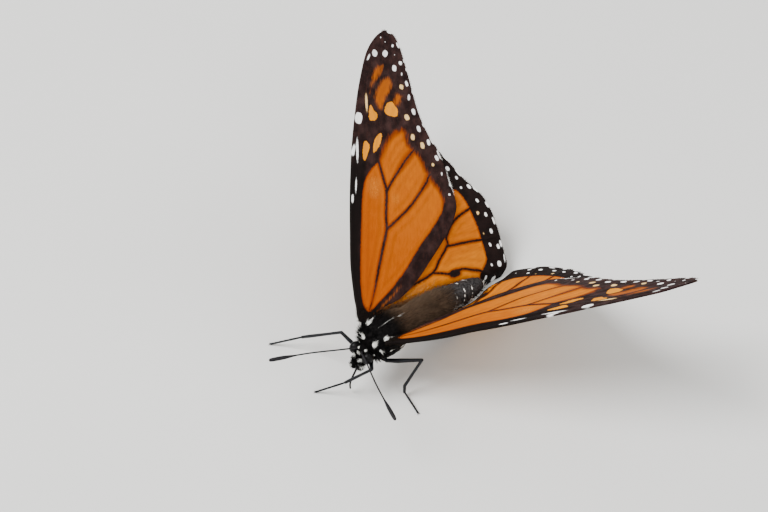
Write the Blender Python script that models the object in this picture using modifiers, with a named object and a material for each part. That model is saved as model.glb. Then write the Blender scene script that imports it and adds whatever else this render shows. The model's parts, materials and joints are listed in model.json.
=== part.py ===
"""Monarch butterfly (Danaus plexippus, male), life size, standing on a floor with half-open wings.

The butterfly faces -Y, its left side is +X.  It is drawn in its own body frame (X left, Y back,
Z up, millimetres, origin midway between the wing bases) and tipped nose up by BODY_PITCH, so that
it stands on four walking legs and on the rear edges of its hindwings.
"""
import math

import bmesh
import bpy
import numpy as np
from mathutils import Matrix, Vector

MM = 0.001

# ---- stance -----------------------------------------------------------------------------------
BODY_PITCH = math.radians(12)        # nose up
WING_BASE_HEIGHT = 10.5              # wing-base level above the floor
GAP = 0.2                            # clearance between neighbouring solids

# ---- wings ------------------------------------------------------------------------------------
DIHEDRAL = math.radians(37)          # each wing's rise above the horizontal
SWEEP = math.radians(36)             # forewing axis swept back from straight out
REAR_DROP = math.sin(math.radians(1.8))   # fall of the wing plane towards the tail
WING_BASE = Vector((3.2, 0.0, 1.0))
WING_THICKNESS = 0.5
WING_STEP = WING_THICKNESS + GAP     # hindwing lies this far under the forewing
LEADING_DROOP = 0.4                  # slight fall of the inner wing towards its leading edge
COSTA_LIFT = 0.5                     # slight rise of the leading edge near the wing's tip
BOW = {1: 0.88, -1: 0.0}             # upward bow of the left and the right wings
HIND_LIFT = {1: 0.0, -1: 0.9}        # upturn of each hindwing's free margin
FOLD_RADIUS = 1.6                    # bend of the hindwing round the abdomen
FOLD_FRONT = 0.4                     # where that bend starts beside the abdomen
FOLD_REAR = {1: -3.0, -1: -2.0}      # where it starts behind the abdomen
FOLD_SHIFT = {1: (17, 29), -1: (15, 28)}   # distances back between which it moves inwards
HANG = {1: 1.78, -1: 1.0}            # stretch of the folded wall down to the floor

OUTLINE_STEPS = 24
FORE_STATIONS, FORE_COLUMNS = 26, 6
HIND_STATIONS, HIND_COLUMNS = 22, 14
# outline of the forewing: (along its axis, back across it) from the root's front round by the apex
FOREWING_OUTLINE = (
    (-0.8, -1.4), (3, -2.6), (7.5, -3.4), (12.5, -3.85), (20, -4.6), (27.5, -5.15), (35, -5.25),
    (40, -5.0), (45, -4.25), (48.4, -2.7), (50.2, -0.9), (49.6, 0.9), (47.5, 2.4), (44, 4.2),
    (40.5, 5.6), (37.2, 7.1), (34.3, 9.1), (32.2, 11.1), (28.3, 13.4), (25.5, 14.8), (23.2, 15.65),
    (20.5, 15.1), (17.1, 13.7), (12.4, 11.2), (8.3, 8.9), (4.5, 6.0), (1.7, 2.4))
# outline of the hindwing: (back along the body, out across it), from the root round by the margin
HINDWING_OUTLINE = (
    (2.6, 0.2), (4.6, 5.5), (8, 12), (12.5, 18.2), (18, 22.9), (22.8, 24.6), (26.8, 22.6),
    (29.1, 17.6), (30.7, 13.4), (31.9, 10.2), (32.5, 6.8), (32.1, 2.9), (31.2, 0.0), (30.1, -2.7),
    (28.2, -4.8), (25.7, -5.2), (21, -4.6), (15, -4.1), (10, -3.2), (6, -1.8), (3.6, -0.6))

# ---- trunk: (distance back, half width, top, underside) -----------------------------------------
TRUNK = (
    (-2.6, 0.1, -1.3, -1.7), (-2.45, 1.3, -0.7, -3.9), (-2.2, 1.95, -0.35, -4.15),
    (-1.9, 2.4, 0.0, -4.3), (-1.2, 2.7, 0.65, -4.6), (-0.2, 2.87, 1.15, -4.9), (1.3, 2.95, 1.6, -5.1),
    (3.2, 2.85, 1.75, -4.85), (5.0, 2.5, 1.35, -4.05), (6.4, 2.3, 1.15, -3.35),
    (8.6, 2.45, 1.35, -3.4), (12, 2.5, 1.3, -3.4), (15.5, 2.35, 1.15, -3.2), (18.8, 2.05, 0.95, -2.9),
    (21.3, 1.65, 0.55, -2.5), (22.9, 1.1, 0.05, -2.1), (23.6, 0.12, -1.0, -1.2))
WAIST = 6.3                          # cut between thorax and abdomen
SHOULDERS = 0.9                      # how much squarer than an oval the thorax is, as a power
TRUNK_RINGS, TRUNK_SIDES = 44, 20
SEGMENT_LENGTH, SEGMENT_DEPTH = 2.15, 0.05   # rings of the abdomen

# ---- head ---------------------------------------------------------------------------------------
HEAD_CENTRE = Vector((0, -2.95, -3.0))
HEAD_SIZE = Vector((1.3, 1.2, 1.65))
HEAD_SIDES, HEAD_RINGS = 20, 12
EYE_CENTRE = Vector((1.52, -3.4, -2.95))
EYE_SIZE = Vector((0.85, 1.0, 1.1))
EYE_SIDES, EYE_RINGS = 14, 10
ANTENNA = {                          # from the socket to the tip of the club
    "left": ((0.5, -3.8, -2.1), (0.9, -4.4, -1.85), (1.9, -4.65, -1.9), (7.95, -7.4, -1.9),
             (14.7, -9.7, -2.2)),
    "right": ((-0.5, -3.7, -2.2), (-0.8, -4.3, -2.1), (-2.0, -7.0, -2.05), (-4.2, -11.8, -2.1),
              (-6.7, -17.5, -2.6)),
}
ANTENNA_RADIUS, CLUB_RADIUS = 0.25, 0.42
CLUB_START, CLUB_FULL = 0.76, 0.93   # shares of the feeler's length
PALP = ((0.5, -3.5, -4.0), (0.57, -4.2, -5.1), (0.53, -4.2, -6.05))
PALP_RADII = (0.28, 0.36, 0.38, 0.36, 0.26)
TONGUE = ((0, -4.1, 7.0), (0, -4.6, 6.0), (0, -5.05, 4.85), (0, -5.8, 3.6), (0, -6.3, 2.3),
          (0, -6.25, 0.9))            # in the floor's frame
TONGUE_RADIUS = 0.25

# ---- legs: hip, trochanter, knee, ankle and toe in the floor's frame (X left, Y back, Z up) -------
LEG_POINTS = {
    "midleg_right": ((-0.7, -1.4, 6.9), (-0.65, -2.5, 5.7), (-5.2, -3.6, 8.4), (-11.9, -6.2, 3.0),
                     (-15.9, -9.5, 0.18)),
    "midleg_left": ((0.7, -1.4, 6.9), (0.65, -2.5, 5.7), (3.4, -4.7, 7.9), (-0.1, -7.3, 3.3),
                    (-3.6, -10.5, 0.18)),
    "hindleg_left": ((1.4, -0.2, 6.4), (2.0, -0.6, 5.2), (7.6, 2.3, 8.4), (6.4, -0.2, 0.9),
                     (10.4, -1.0, 0.18)),
    "hindleg_right": ((-1.4, -0.1, 6.4), (-2.1, 0.3, 5.05), (-6.4, 5.3, 8.1), (-6.6, 6.0, 0.9),
                      (-8.5, 8.8, 0.18)),
}
FORELEG = ((0.35, -1.7, -3.4), (0.38, -2.45, -5.1), (0.38, -2.25, -6.1))   # in the body's frame
FORELEG_RADII = (0.3, 0.28, 0.25)
LEG_RADII = (0.4, 0.42, 0.32, 0.27, 0.25)


# ================================================================================================
# helpers
# ================================================================================================
def smoothstep(low, high, value):
    """Ease from 0 at low to 1 at high."""
    t = min(max((value - low) / (high - low), 0.0), 1.0)
    return t * t * (3 - 2 * t)


def curve_through(points, steps, closed=False):
    """A smooth curve through the points (Catmull-Rom), with the given steps from each to the next."""
    p = np.array(points, float)
    if closed:
        before, start, end, beyond = np.roll(p, 1, 0), p, np.roll(p, -1, 0), np.roll(p, -2, 0)
    else:
        p = np.vstack([2 * p[0] - p[1], p, 2 * p[-1] - p[-2]])
        before, start, end, beyond = p[:-3], p[1:-2], p[2:-1], p[3:]
    t = np.linspace(0, 1, steps, endpoint=False)[None, :, None]
    a, b, c, d = (q[:, None, :] for q in (before, start, end, beyond))
    curve = 0.5 * (2 * b + (c - a) * t + (2 * a - 5 * b + 4 * c - d) * t ** 2
                   + (3 * b - a - 3 * c + d) * t ** 3)
    curve = curve.reshape(-1, p.shape[1])
    return curve if closed else np.vstack([curve, p[-2:-1]])


def outline_span(points):
    """The low and high sides of an outline as functions of the first coordinate."""
    curve = curve_through(points, OUTLINE_STEPS, closed=True)
    curve = np.roll(curve, -int(curve[:, 0].argmin()), 0)
    far = int(curve[:, 0].argmax())
    one, two = curve[:far + 1], np.vstack([curve[far:], curve[:1]])[::-1]
    low, high = (one, two) if one[far // 2, 1] < two[len(two) // 2, 1] else (two, one)

    def side(branch):
        return lambda x: float(np.interp(x, branch[:, 0], branch[:, 1]))
    return side(low), side(high), float(curve[0, 0]), float(one[-1, 0])


def interpolate(rows, x):
    """Smooth value of each column at x, through rows sorted on their first column."""
    table = np.array(rows, float)
    xs = table[:, 0]
    i = int(np.clip(np.searchsorted(xs, x) - 1, 0, len(xs) - 2))
    slopes = np.gradient(table, xs, axis=0)
    width = xs[i + 1] - xs[i]
    t = (x - xs[i]) / width
    h00, h10 = 2 * t ** 3 - 3 * t ** 2 + 1, t ** 3 - 2 * t ** 2 + t
    return (h00 * table[i] + h10 * width * slopes[i]
            + (1 - h00) * table[i + 1] + (t ** 3 - t ** 2) * width * slopes[i + 1])[1:]


def material(name, color, roughness, metallic=0.0):
    """A plain Principled material."""
    mat = bpy.data.materials.get(name) or bpy.data.materials.new(name)
    mat.use_nodes = True
    bsdf = mat.node_tree.nodes["Principled BSDF"]
    bsdf.inputs["Base Color"].default_value = (*color, 1)
    bsdf.inputs["Roughness"].default_value = roughness
    bsdf.inputs["Metallic"].default_value = metallic
    mat.diffuse_color = (*color, 1)
    return mat


def add_object(name, bm, parent, mat, collection, smooth=True):
    """Make an object of a bmesh drawn in millimetres."""
    bmesh.ops.scale(bm, vec=(MM, MM, MM), verts=bm.verts)
    mesh = bpy.data.meshes.new(name)
    bm.to_mesh(mesh)
    bm.free()
    if smooth:
        mesh.shade_smooth()
    if mat:
        mesh.materials.append(mat)
    obj = bpy.data.objects.new(name, mesh)
    obj.parent = parent
    collection.objects.link(obj)
    return obj


def ball(center, size, sides=16, rings=10):
    """An ellipsoid with its poles to the front and back."""
    bm = bmesh.new()
    bmesh.ops.create_uvsphere(bm, u_segments=sides, v_segments=rings, radius=1)
    turn = Matrix.Rotation(math.radians(90), 4, "X")
    bmesh.ops.transform(bm, matrix=Matrix.Translation(center) @ Matrix.Diagonal((*size, 1)) @ turn,
                        verts=bm.verts)
    return bm


def cut(obj, cutter):
    """Take the cutter's volume away from an object."""
    mod = obj.modifiers.new("cut_" + cutter.name, "BOOLEAN")
    mod.operation = "DIFFERENCE"
    mod.solver = "EXACT"
    mod.object = cutter


def tube(name, points, radii, parent, mat, sides_level=2):
    """A tube along the points as a closed mesh; the radii are given at each point."""
    data = bpy.data.curves.new(name, "CURVE")
    data.dimensions = "3D"
    data.bevel_depth = MM
    data.bevel_resolution = sides_level
    data.use_fill_caps = True
    spline = data.splines.new("POLY")
    spline.points.add(len(points) - 1)
    for spot, place, radius in zip(spline.points, points, radii):
        spot.co = (*(Vector(place) * MM), 1)
        spot.radius = radius
    curve = bpy.data.objects.new(name + "_curve", data)
    PARTS.objects.link(curve)
    mesh = bpy.data.meshes.new_from_object(curve.evaluated_get(bpy.context.evaluated_depsgraph_get()))
    bpy.data.objects.remove(curve)
    bm = bmesh.new()
    bm.from_mesh(mesh)
    bpy.data.meshes.remove(mesh)
    bmesh.ops.remove_doubles(bm, verts=bm.verts, dist=1e-6)
    bmesh.ops.recalc_face_normals(bm, faces=bm.faces)
    bmesh.ops.scale(bm, vec=(1 / MM,) * 3, verts=bm.verts)
    return add_object(name, bm, parent, mat, PARTS)


# ================================================================================================
# wings
# ================================================================================================
def camber(along, back, side):
    """Height of both wings off their plane, at a place in the forewing's own axes."""
    out = along * math.cos(SWEEP) - back * math.sin(SWEEP)
    droop = ((back - 10) / 12) ** 2 * smoothstep(0, 12, along) * (1 - smoothstep(15, 36, along))
    lift = smoothstep(-1, 4, -back) * smoothstep(28, 44, along)
    bow = smoothstep(2, 16, along) * (1 - 0.8 * smoothstep(24, 46, along))
    inner = smoothstep(-1, 5, out)
    rear = along * math.sin(SWEEP) + back * math.cos(SWEEP)
    bow *= (1 - 0.25 * smoothstep(1, 5, -back)) * (inner + (1 - inner) * smoothstep(14, 24, rear))
    return COSTA_LIFT * lift - LEADING_DROOP * droop + BOW[side] * bow


def fore_point(along, back, side):
    """Place of a point of a forewing, from its own axis and chord."""
    out = along * math.cos(SWEEP) - back * math.sin(SWEEP)
    rear = along * math.sin(SWEEP) + back * math.cos(SWEEP)
    rise = camber(along, back, side)
    x = out * math.cos(DIHEDRAL) - rise * math.sin(DIHEDRAL)
    z = out * math.sin(DIHEDRAL) + rise * math.cos(DIHEDRAL) - REAR_DROP * rear
    place = WING_BASE + Vector((x, rear, z))
    return Vector((place.x * side, place.y, place.z))


def hind_point(rear, out, side):
    """Place of a point of a hindwing; its inner part bends down beside the abdomen."""
    fold = FOLD_FRONT + (FOLD_REAR[side] - FOLD_FRONT) * smoothstep(*FOLD_SHIFT[side], rear)
    over = max(fold - out, 0.0)
    bend = min(over, FOLD_RADIUS * (math.pi / 2 - DIHEDRAL))
    angle = DIHEDRAL + bend / FOLD_RADIUS
    flat = max(out, fold)
    x = flat * math.cos(DIHEDRAL) - FOLD_RADIUS * (math.sin(angle) - math.sin(DIHEDRAL))
    z = flat * math.sin(DIHEDRAL) - FOLD_RADIUS * (math.cos(DIHEDRAL) - math.cos(angle))
    z -= (over - bend) * HANG[side]
    rise = camber(out * math.cos(SWEEP) + rear * math.sin(SWEEP),
                  rear * math.cos(SWEEP) - out * math.sin(SWEEP), side)
    rise += HIND_LIFT[side] * smoothstep(27.6, 31.5, rear) * (1 - smoothstep(9, 13.5, out)) - WING_STEP
    x -= rise * math.sin(DIHEDRAL)
    z += rise * math.cos(DIHEDRAL) - REAR_DROP * rear
    place = WING_BASE + Vector((x, rear, z))
    return Vector((place.x * side, place.y, place.z))


def wing(name, outline, place, side, stations, columns, mat):
    """A wing: a grid spanned between the two sides of its outline, made WING_THICKNESS thick."""
    low, high, start, end = outline_span(outline)
    start, end = start + 0.25, end - 0.12
    bm = bmesh.new()
    bmesh.ops.create_grid(bm, x_segments=stations, y_segments=columns, size=0.5)
    for vert in bm.verts:
        s, t = vert.co.x + 0.5, vert.co.y + 0.5
        along = start + (end - start) * math.sin(s * math.pi / 2)
        across = low(along) + (high(along) - low(along)) * t
        vert.co = place(along, across, side)
    obj = add_object(name, bm, BODY, mat, PARTS)
    solid = obj.modifiers.new("thickness", "SOLIDIFY")
    solid.thickness = WING_THICKNESS * MM
    solid.offset = 0
    return obj


def build_wings():
    orange = material("wing_orange", (0.80, 0.27, 0.03), 0.6)
    for label, side in (("left", 1), ("right", -1)):
        fore = wing("forewing_" + label, FOREWING_OUTLINE, fore_point, side, FORE_STATIONS,
                    FORE_COLUMNS, orange)
        hind = wing("hindwing_" + label, HINDWING_OUTLINE, hind_point, side, HIND_STATIONS,
                    HIND_COLUMNS, orange)
        cut(fore, TRUNK_CLEARANCE)
        cut(hind, TRUNK_CLEARANCE)
        cut(hind, FLOOR)


# ================================================================================================
# trunk and head
# ================================================================================================
def trunk_mesh(grow=0.0):
    """The trunk from neck to tail, as rings whose size follows TRUNK."""
    bm = bmesh.new()
    bmesh.ops.create_uvsphere(bm, u_segments=TRUNK_SIDES, v_segments=TRUNK_RINGS, radius=1)
    front, tail = TRUNK[0][0] - grow, TRUNK[-1][0] + grow
    for vert in bm.verts:
        share = 1 - math.acos(min(max(vert.co.z, -1), 1)) / math.pi
        round_ = Vector((vert.co.x, vert.co.y))
        y = tail + (front - tail) * share
        inner = min(max(y, TRUNK[0][0]), TRUNK[-1][0])
        half, top, bottom = interpolate(TRUNK, inner)
        if inner > WAIST:
            ring = abs(((inner - WAIST) / SEGMENT_LENGTH) % 1 - 0.5) * 2
            half -= SEGMENT_DEPTH * smoothstep(0.7, 1, ring)
        pole = 0.0 if round_.length < 1e-5 else 1.0
        round_ = round_.normalized() * pole
        square = 2 / (2 + SHOULDERS * smoothstep(-2.5, -1.6, y) * (1 - smoothstep(3.5, 8, y)))
        across = math.copysign(abs(round_.x) ** square, round_.x) * (half + grow)
        rise = math.copysign(abs(round_.y) ** square, round_.y) * ((top - bottom) / 2 + grow)
        vert.co = (across, y, (top + bottom) / 2 + rise)
    bmesh.ops.recalc_face_normals(bm, faces=bm.faces)
    return bm


def keep_half(bm, y, behind):
    """Cut a mesh at a distance back and keep the part before or behind it."""
    geom = bm.verts[:] + bm.edges[:] + bm.faces[:]
    bmesh.ops.bisect_plane(bm, geom=geom, plane_co=(0, y, 0), plane_no=(0, 1, 0),
                           clear_inner=behind, clear_outer=not behind)
    rim = [edge for edge in bm.edges if edge.is_boundary]
    bmesh.ops.contextual_create(bm, geom=rim)
    bmesh.ops.recalc_face_normals(bm, faces=bm.faces)


def build_trunk():
    black = material("body_black", (0.020, 0.017, 0.016), 0.7)
    front, back = trunk_mesh(), trunk_mesh()
    keep_half(front, WAIST - GAP / 2, behind=False)
    keep_half(back, WAIST + GAP / 2, behind=True)
    thorax = add_object("thorax", front, BODY, black, PARTS)
    add_object("abdomen", back, BODY, black, PARTS)
    cut(thorax, HEAD_CLEARANCE)
    for clearance in EYE_CLEARANCES.values():
        cut(thorax, clearance)


def build_head():
    black = material("body_black", (0.020, 0.017, 0.016), 0.7)
    gloss = material("eye_black", (0.012, 0.010, 0.010), 0.15)
    head = add_object("head", ball(HEAD_CENTRE, HEAD_SIZE, HEAD_SIDES, HEAD_RINGS), BODY, black, PARTS)
    for label, side in (("left", 1), ("right", -1)):
        center = Vector((EYE_CENTRE.x * side, EYE_CENTRE.y, EYE_CENTRE.z))
        add_object("eye_" + label, ball(center, EYE_SIZE, EYE_SIDES, EYE_RINGS), BODY, gloss, PARTS)
        cut(head, EYE_CLEARANCES[label])


def mirrored(points, side):
    """The points with their sideways part turned to one side of the body."""
    return [Vector((x * side, y, z)) for x, y, z in points]


def build_feelers():
    dark = material("leg_black", (0.018, 0.018, 0.022), 0.5)
    for label, side in (("left", 1), ("right", -1)):
        points = curve_through(ANTENNA[label], 4)
        shares = [i / (len(points) - 1) for i in range(len(points))]
        radii = [ANTENNA_RADIUS + (CLUB_RADIUS - ANTENNA_RADIUS) * smoothstep(CLUB_START, CLUB_FULL, t)
                 for t in shares]
        radii[-1] = ANTENNA_RADIUS
        cut(tube("antenna_" + label, points, radii, BODY, dark), HEAD_CLEARANCE)
        palp = curve_through(mirrored(PALP, side), 2)
        cut(tube("palp_" + label, palp, PALP_RADII, BODY, dark), HEAD_CLEARANCE)
    tongue = curve_through(TONGUE, 2)
    cut(tube("proboscis", tongue, [TONGUE_RADIUS] * len(tongue), ROOT, dark), HEAD_CLEARANCE)


# ================================================================================================
# legs
# ================================================================================================
def limb(joints, radii, per_part=4):
    """Points and radii along a leg; each part is a little thicker in its first half."""
    points, sizes = [], []
    for i in range(len(joints) - 1):
        for k in range(per_part):
            t = k / per_part
            points.append(Vector(joints[i]).lerp(Vector(joints[i + 1]), t))
            sizes.append(radii[i] + (radii[i + 1] - radii[i]) * t)
    points.append(Vector(joints[-1]))
    sizes.append(radii[-1])
    return points, sizes


def build_legs():
    dark = material("leg_black", (0.018, 0.018, 0.022), 0.5)
    for name, joints in LEG_POINTS.items():
        points, radii = limb(joints, LEG_RADII)
        leg = tube(name, points, radii, ROOT, dark)
        cut(leg, TRUNK_CLEARANCE)
        cut(leg, FLOOR)
    for label, side in (("left", 1), ("right", -1)):
        points, radii = limb(mirrored(FORELEG, side), FORELEG_RADII, 3)
        leg = tube("foreleg_" + label, points, radii, BODY, dark)
        cut(leg, TRUNK_CLEARANCE)
        cut(leg, HEAD_CLEARANCE)


# ================================================================================================
# assembly
# ================================================================================================
for old in list(bpy.data.objects):
    bpy.data.objects.remove(old)
PARTS = bpy.data.collections.new("monarch_butterfly")
CUTTERS = bpy.data.collections.new("cutters")
for group in (PARTS, CUTTERS):
    bpy.context.scene.collection.children.link(group)

ROOT = bpy.data.objects.new("root", None)            # the floor's frame
BODY = bpy.data.objects.new("body_frame", None)      # tipped with the body
PARTS.objects.link(ROOT)
PARTS.objects.link(BODY)
BODY.parent = ROOT
BODY.rotation_euler = (-BODY_PITCH, 0, 0)
BODY.location = (0, 0, WING_BASE_HEIGHT * MM)

block = bmesh.new()
bmesh.ops.create_cube(block, size=1)
bmesh.ops.transform(block, matrix=Matrix.Translation((0, 0, -5)) @ Matrix.Diagonal((150, 150, 10, 1)),
                    verts=block.verts)
FLOOR = add_object("floor_level", block, ROOT, None, CUTTERS, smooth=False)
TRUNK_CLEARANCE = add_object("trunk_clearance", trunk_mesh(GAP), BODY, None, CUTTERS)
HEAD_CLEARANCE = add_object("head_clearance",
                            ball(HEAD_CENTRE, HEAD_SIZE + Vector((GAP,) * 3), HEAD_SIDES,
                                 HEAD_RINGS),
                            BODY, None, CUTTERS)

EYE_CLEARANCES = {}
for eye_label, eye_side in (("left", 1), ("right", -1)):
    middle = Vector((EYE_CENTRE.x * eye_side, EYE_CENTRE.y, EYE_CENTRE.z))
    socket = ball(middle, EYE_SIZE + Vector((GAP,) * 3), EYE_SIDES, EYE_RINGS)
    EYE_CLEARANCES[eye_label] = add_object("eye_clearance_" + eye_label, socket, BODY, None, CUTTERS)

build_wings()
build_trunk()
build_head()
build_feelers()
build_legs()
for cutter in CUTTERS.objects:
    cutter.hide_render = True
    cutter.display_type = "WIRE"


def centre_on_floor():
    """Move the root so that the whole butterfly's box is centred over the origin."""
    bpy.context.view_layer.update()
    depsgraph = bpy.context.evaluated_depsgraph_get()
    corners = []
    for obj in PARTS.objects:
        if obj.type == "MESH":
            corners += [obj.matrix_world @ Vector(c) for c in obj.evaluated_get(depsgraph).bound_box]
    for axis in (0, 1):
        values = [corner[axis] for corner in corners]
        ROOT.location[axis] -= (min(values) + max(values)) / 2


centre_on_floor()
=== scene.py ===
# %% [markdown]
# # A monarch butterfly with half-raised wings
#
# A still, life-size model of a male monarch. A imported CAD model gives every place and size, and this script
# dresses it: painted wings with raised veins, one skin under a coat of hair, faceted eyes and jointed legs.
# A sculptor would do the same over an armature: first the form, then the skin, and the coat last.

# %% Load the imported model
import json
import math
from math import cos, pi, radians, sin

import bmesh
import bpy
import numpy as np
from mathutils import Matrix, Vector

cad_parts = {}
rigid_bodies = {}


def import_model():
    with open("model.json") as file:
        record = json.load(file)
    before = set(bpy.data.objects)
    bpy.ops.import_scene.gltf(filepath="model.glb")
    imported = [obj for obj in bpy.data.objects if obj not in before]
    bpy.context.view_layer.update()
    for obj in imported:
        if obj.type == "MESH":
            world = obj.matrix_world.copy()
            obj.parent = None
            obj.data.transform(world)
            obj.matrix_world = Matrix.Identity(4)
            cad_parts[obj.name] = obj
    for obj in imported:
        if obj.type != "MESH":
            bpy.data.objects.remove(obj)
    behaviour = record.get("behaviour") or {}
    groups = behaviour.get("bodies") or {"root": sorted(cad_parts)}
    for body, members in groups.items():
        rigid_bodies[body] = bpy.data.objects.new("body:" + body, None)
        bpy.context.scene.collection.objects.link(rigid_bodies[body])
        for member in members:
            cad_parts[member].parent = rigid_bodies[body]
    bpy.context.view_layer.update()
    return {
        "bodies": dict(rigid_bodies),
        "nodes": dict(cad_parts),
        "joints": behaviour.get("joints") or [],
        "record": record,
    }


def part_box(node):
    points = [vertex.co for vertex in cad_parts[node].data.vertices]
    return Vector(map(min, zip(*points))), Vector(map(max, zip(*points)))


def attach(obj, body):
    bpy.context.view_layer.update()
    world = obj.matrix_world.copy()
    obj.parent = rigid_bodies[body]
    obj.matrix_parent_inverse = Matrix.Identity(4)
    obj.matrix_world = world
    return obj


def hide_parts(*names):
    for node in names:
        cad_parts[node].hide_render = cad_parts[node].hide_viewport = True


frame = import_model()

# %% [markdown]
# ## One frame for the whole insect
#
# A body is easiest to describe in millimetres along its own axes: x to its left, y towards the tail, z up.
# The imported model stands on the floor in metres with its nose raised. The two eyes tell where the body frame
# lies in it, because each is a plain ellipsoid whose middle is known in both frames.

# %% Body frame and floor frame
MM = 0.001
NOSE_UP = radians(12)
WING_BASE_HEIGHT = 10.5
EYE_CENTRE = Vector((1.52, -3.4, -2.95))
EYE_SIZE = (0.85, 1.0, 1.1)

tilt = Matrix.Rotation(-NOSE_UP, 4, "X")
stand = Matrix.Translation((0, 0, WING_BASE_HEIGHT)) @ tilt
corners = [Vector(corner) for node in ("eye_left", "eye_right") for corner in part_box(node)]
between_eyes = sum(corners, Vector()) / len(corners)
offset = between_eyes - MM * (stand @ Vector((0, EYE_CENTRE.y, EYE_CENTRE.z)))
FLOOR = Matrix.Translation(offset) @ Matrix.Scale(MM, 4)
BODY = FLOOR @ stand
FROM_FLOOR = stand.inverted()
print("body origin in the row frame:", [round(v, 5) for v in BODY.translation])

# %% [markdown]
# ## The camera
#
# A long lens from half a metre flattens perspective, as in a close portrait of an insect. The view is given by
# three axes of the picture in the body's own frame, so the camera stays with the body when that is tilted.

# %% Camera
VIEW_RIGHT = Vector((0.671, 0.723, 0.166))
VIEW_DOWN = Vector((0.586, -0.379, -0.716))
VIEW_AWAY = Vector((-0.455, 0.577, -0.678))
DISTANCE = 500
PIXELS_PER_MM = 6.24
PICTURE = (768, 512)
BODY_AT = (379.7, 331.5)

turn = BODY.to_3x3().normalized()
focal = PIXELS_PER_MM * DISTANCE
aim = VIEW_AWAY + VIEW_RIGHT * (PICTURE[0] / 2 - BODY_AT[0]) / focal
aim = (aim + VIEW_DOWN * (PICTURE[1] / 2 - BODY_AT[1]) / focal).normalized()
away = turn @ aim
right = (turn @ VIEW_RIGHT)
right = (right - away * right.dot(away)).normalized()
up = right.cross(away)
lens = bpy.data.cameras.new("camera")
lens.sensor_width = 36
lens.lens = 36 * focal / PICTURE[0]
lens.clip_start, lens.clip_end = 0.01, 20
camera = bpy.data.objects.new("camera", lens)
bpy.context.scene.collection.objects.link(camera)
camera.matrix_world = Matrix.Translation(BODY @ (-VIEW_AWAY * DISTANCE)) @ Matrix(
    (right, up, -away)).transposed().to_4x4()
bpy.context.scene.camera = camera
print("lens", round(lens.lens, 1), "mm, camera height", round(camera.location.z * 1000), "mm")

# %% [markdown]
# ## Small helpers
#
# Everything below is worked out for many points at once with numpy, as a spreadsheet column would be. A smooth
# step eases from 0 to 1, a smooth curve passes through a few chosen points, and a signed distance says how far
# a point lies inside (negative) or outside a painted shape. Such distances stay sharp on a coarse mesh, because
# the shader draws the edge where the distance crosses zero.

# %% Numbers along curves
def ease(low, high, value):
    share = np.clip((np.asarray(value, float) - low) / (high - low), 0, 1)
    return share * share * (3 - 2 * share)


def curve_through(points, steps=8, closed=False):
    """A smooth curve through the points, each with any number of coordinates."""
    points = np.array(points, float)
    count = len(points)
    spans = count if closed else count - 1
    made = []
    for i in range(spans):
        a, b, c, d = (points[k % count if closed else min(max(k, 0), count - 1)] for k in range(i - 1, i + 3))
        for t in np.arange(steps) / steps:
            made.append(0.5 * (2 * b + (c - a) * t + (2 * a - 5 * b + 4 * c - d) * t ** 2
                               + (3 * b - a - 3 * c + d) * t ** 3))
    if not closed:
        made.append(points[-1])
    return np.array(made)


def distance_to(path, x, y):
    """How far each point is from a path, in the path's units."""
    nearest = np.full(x.shape, 1e9)
    for (ax, ay), (bx, by) in zip(path[:-1, :2], path[1:, :2]):
        dx, dy = bx - ax, by - ay
        t = np.clip(((x - ax) * dx + (y - ay) * dy) / max(dx * dx + dy * dy, 1e-12), 0, 1)
        nearest = np.minimum(nearest, (x - ax - t * dx) ** 2 + (y - ay - t * dy) ** 2)
    return np.sqrt(nearest)


def inside(points, x, y, steps=4):
    """Signed distance to a smooth closed shape: negative inside it."""
    ring = curve_through(points, steps, closed=True)
    ring = np.vstack([ring, ring[:1]])
    crossings = np.zeros(x.shape, bool)
    for (ax, ay), (bx, by) in zip(ring[:-1], ring[1:]):
        if ay != by:
            crossings ^= ((ay > y) != (by > y)) & (x < (bx - ax) * (y - ay) / (by - ay) + ax)
    return np.where(crossings, -1, 1) * distance_to(ring, x, y)


def spots(rows, x, y):
    """Signed distance to oval spots: centre x and y, length, width and turn in degrees."""
    nearest = np.full(x.shape, 9.0)
    for cx, cy, long, wide, angle in rows:
        c, s = cos(radians(angle)), sin(radians(angle))
        u, v = (x - cx) * c + (y - cy) * s, (y - cy) * c - (x - cx) * s
        size = (np.abs(u / (long / 2)) ** 2.6 + np.abs(v / (wide / 2)) ** 2.6) ** (1 / 2.6)
        nearest = np.minimum(nearest, (size - 1) * min(long, wide) / 2)
    return nearest + 0.05


def veins(paths, x, y, half_width):
    """Signed distance to the nearest of several veins."""
    nearest = np.full(x.shape, 9.0)
    for path in paths:
        nearest = np.minimum(nearest, distance_to(curve_through(path, 4), x, y))
    return nearest - half_width


print("an eased half:", float(ease(0, 1, 0.5)))

# %% Mesh helpers
LOWEST = 0.03


def put(mesh, name, values):
    """Stores one number for each vertex, which a material can read by name."""
    layer = mesh.attributes.new(name, "FLOAT", "POINT")
    layer.data.foreach_set("value", np.asarray(values, np.float32))


def get_places(mesh):
    places = np.empty(len(mesh.vertices) * 3)
    mesh.vertices.foreach_get("co", places)
    return places.reshape(-1, 3)


def set_places(mesh, places, matrix):
    """Moves the vertices to places given in millimetres in the frame of a matrix, but never below the floor."""
    m = np.array(matrix)
    moved = np.asarray(places) @ m[:3, :3].T + m[:3, 3]
    moved[:, 2] = np.maximum(moved[:, 2], LOWEST * MM)
    mesh.vertices.foreach_set("co", moved.astype(np.float32).ravel())
    mesh.update()


def corner_vertices(mesh):
    index = np.empty(len(mesh.loops), int)
    mesh.loops.foreach_get("vertex_index", index)
    return index


def set_unwrap(mesh, uv):
    """The unwrap that a finished piece is baked with."""
    layer = mesh.uv_layers.new(name="OFBake")
    layer.data.foreach_set("uv", np.asarray(uv, np.float32).ravel())


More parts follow.
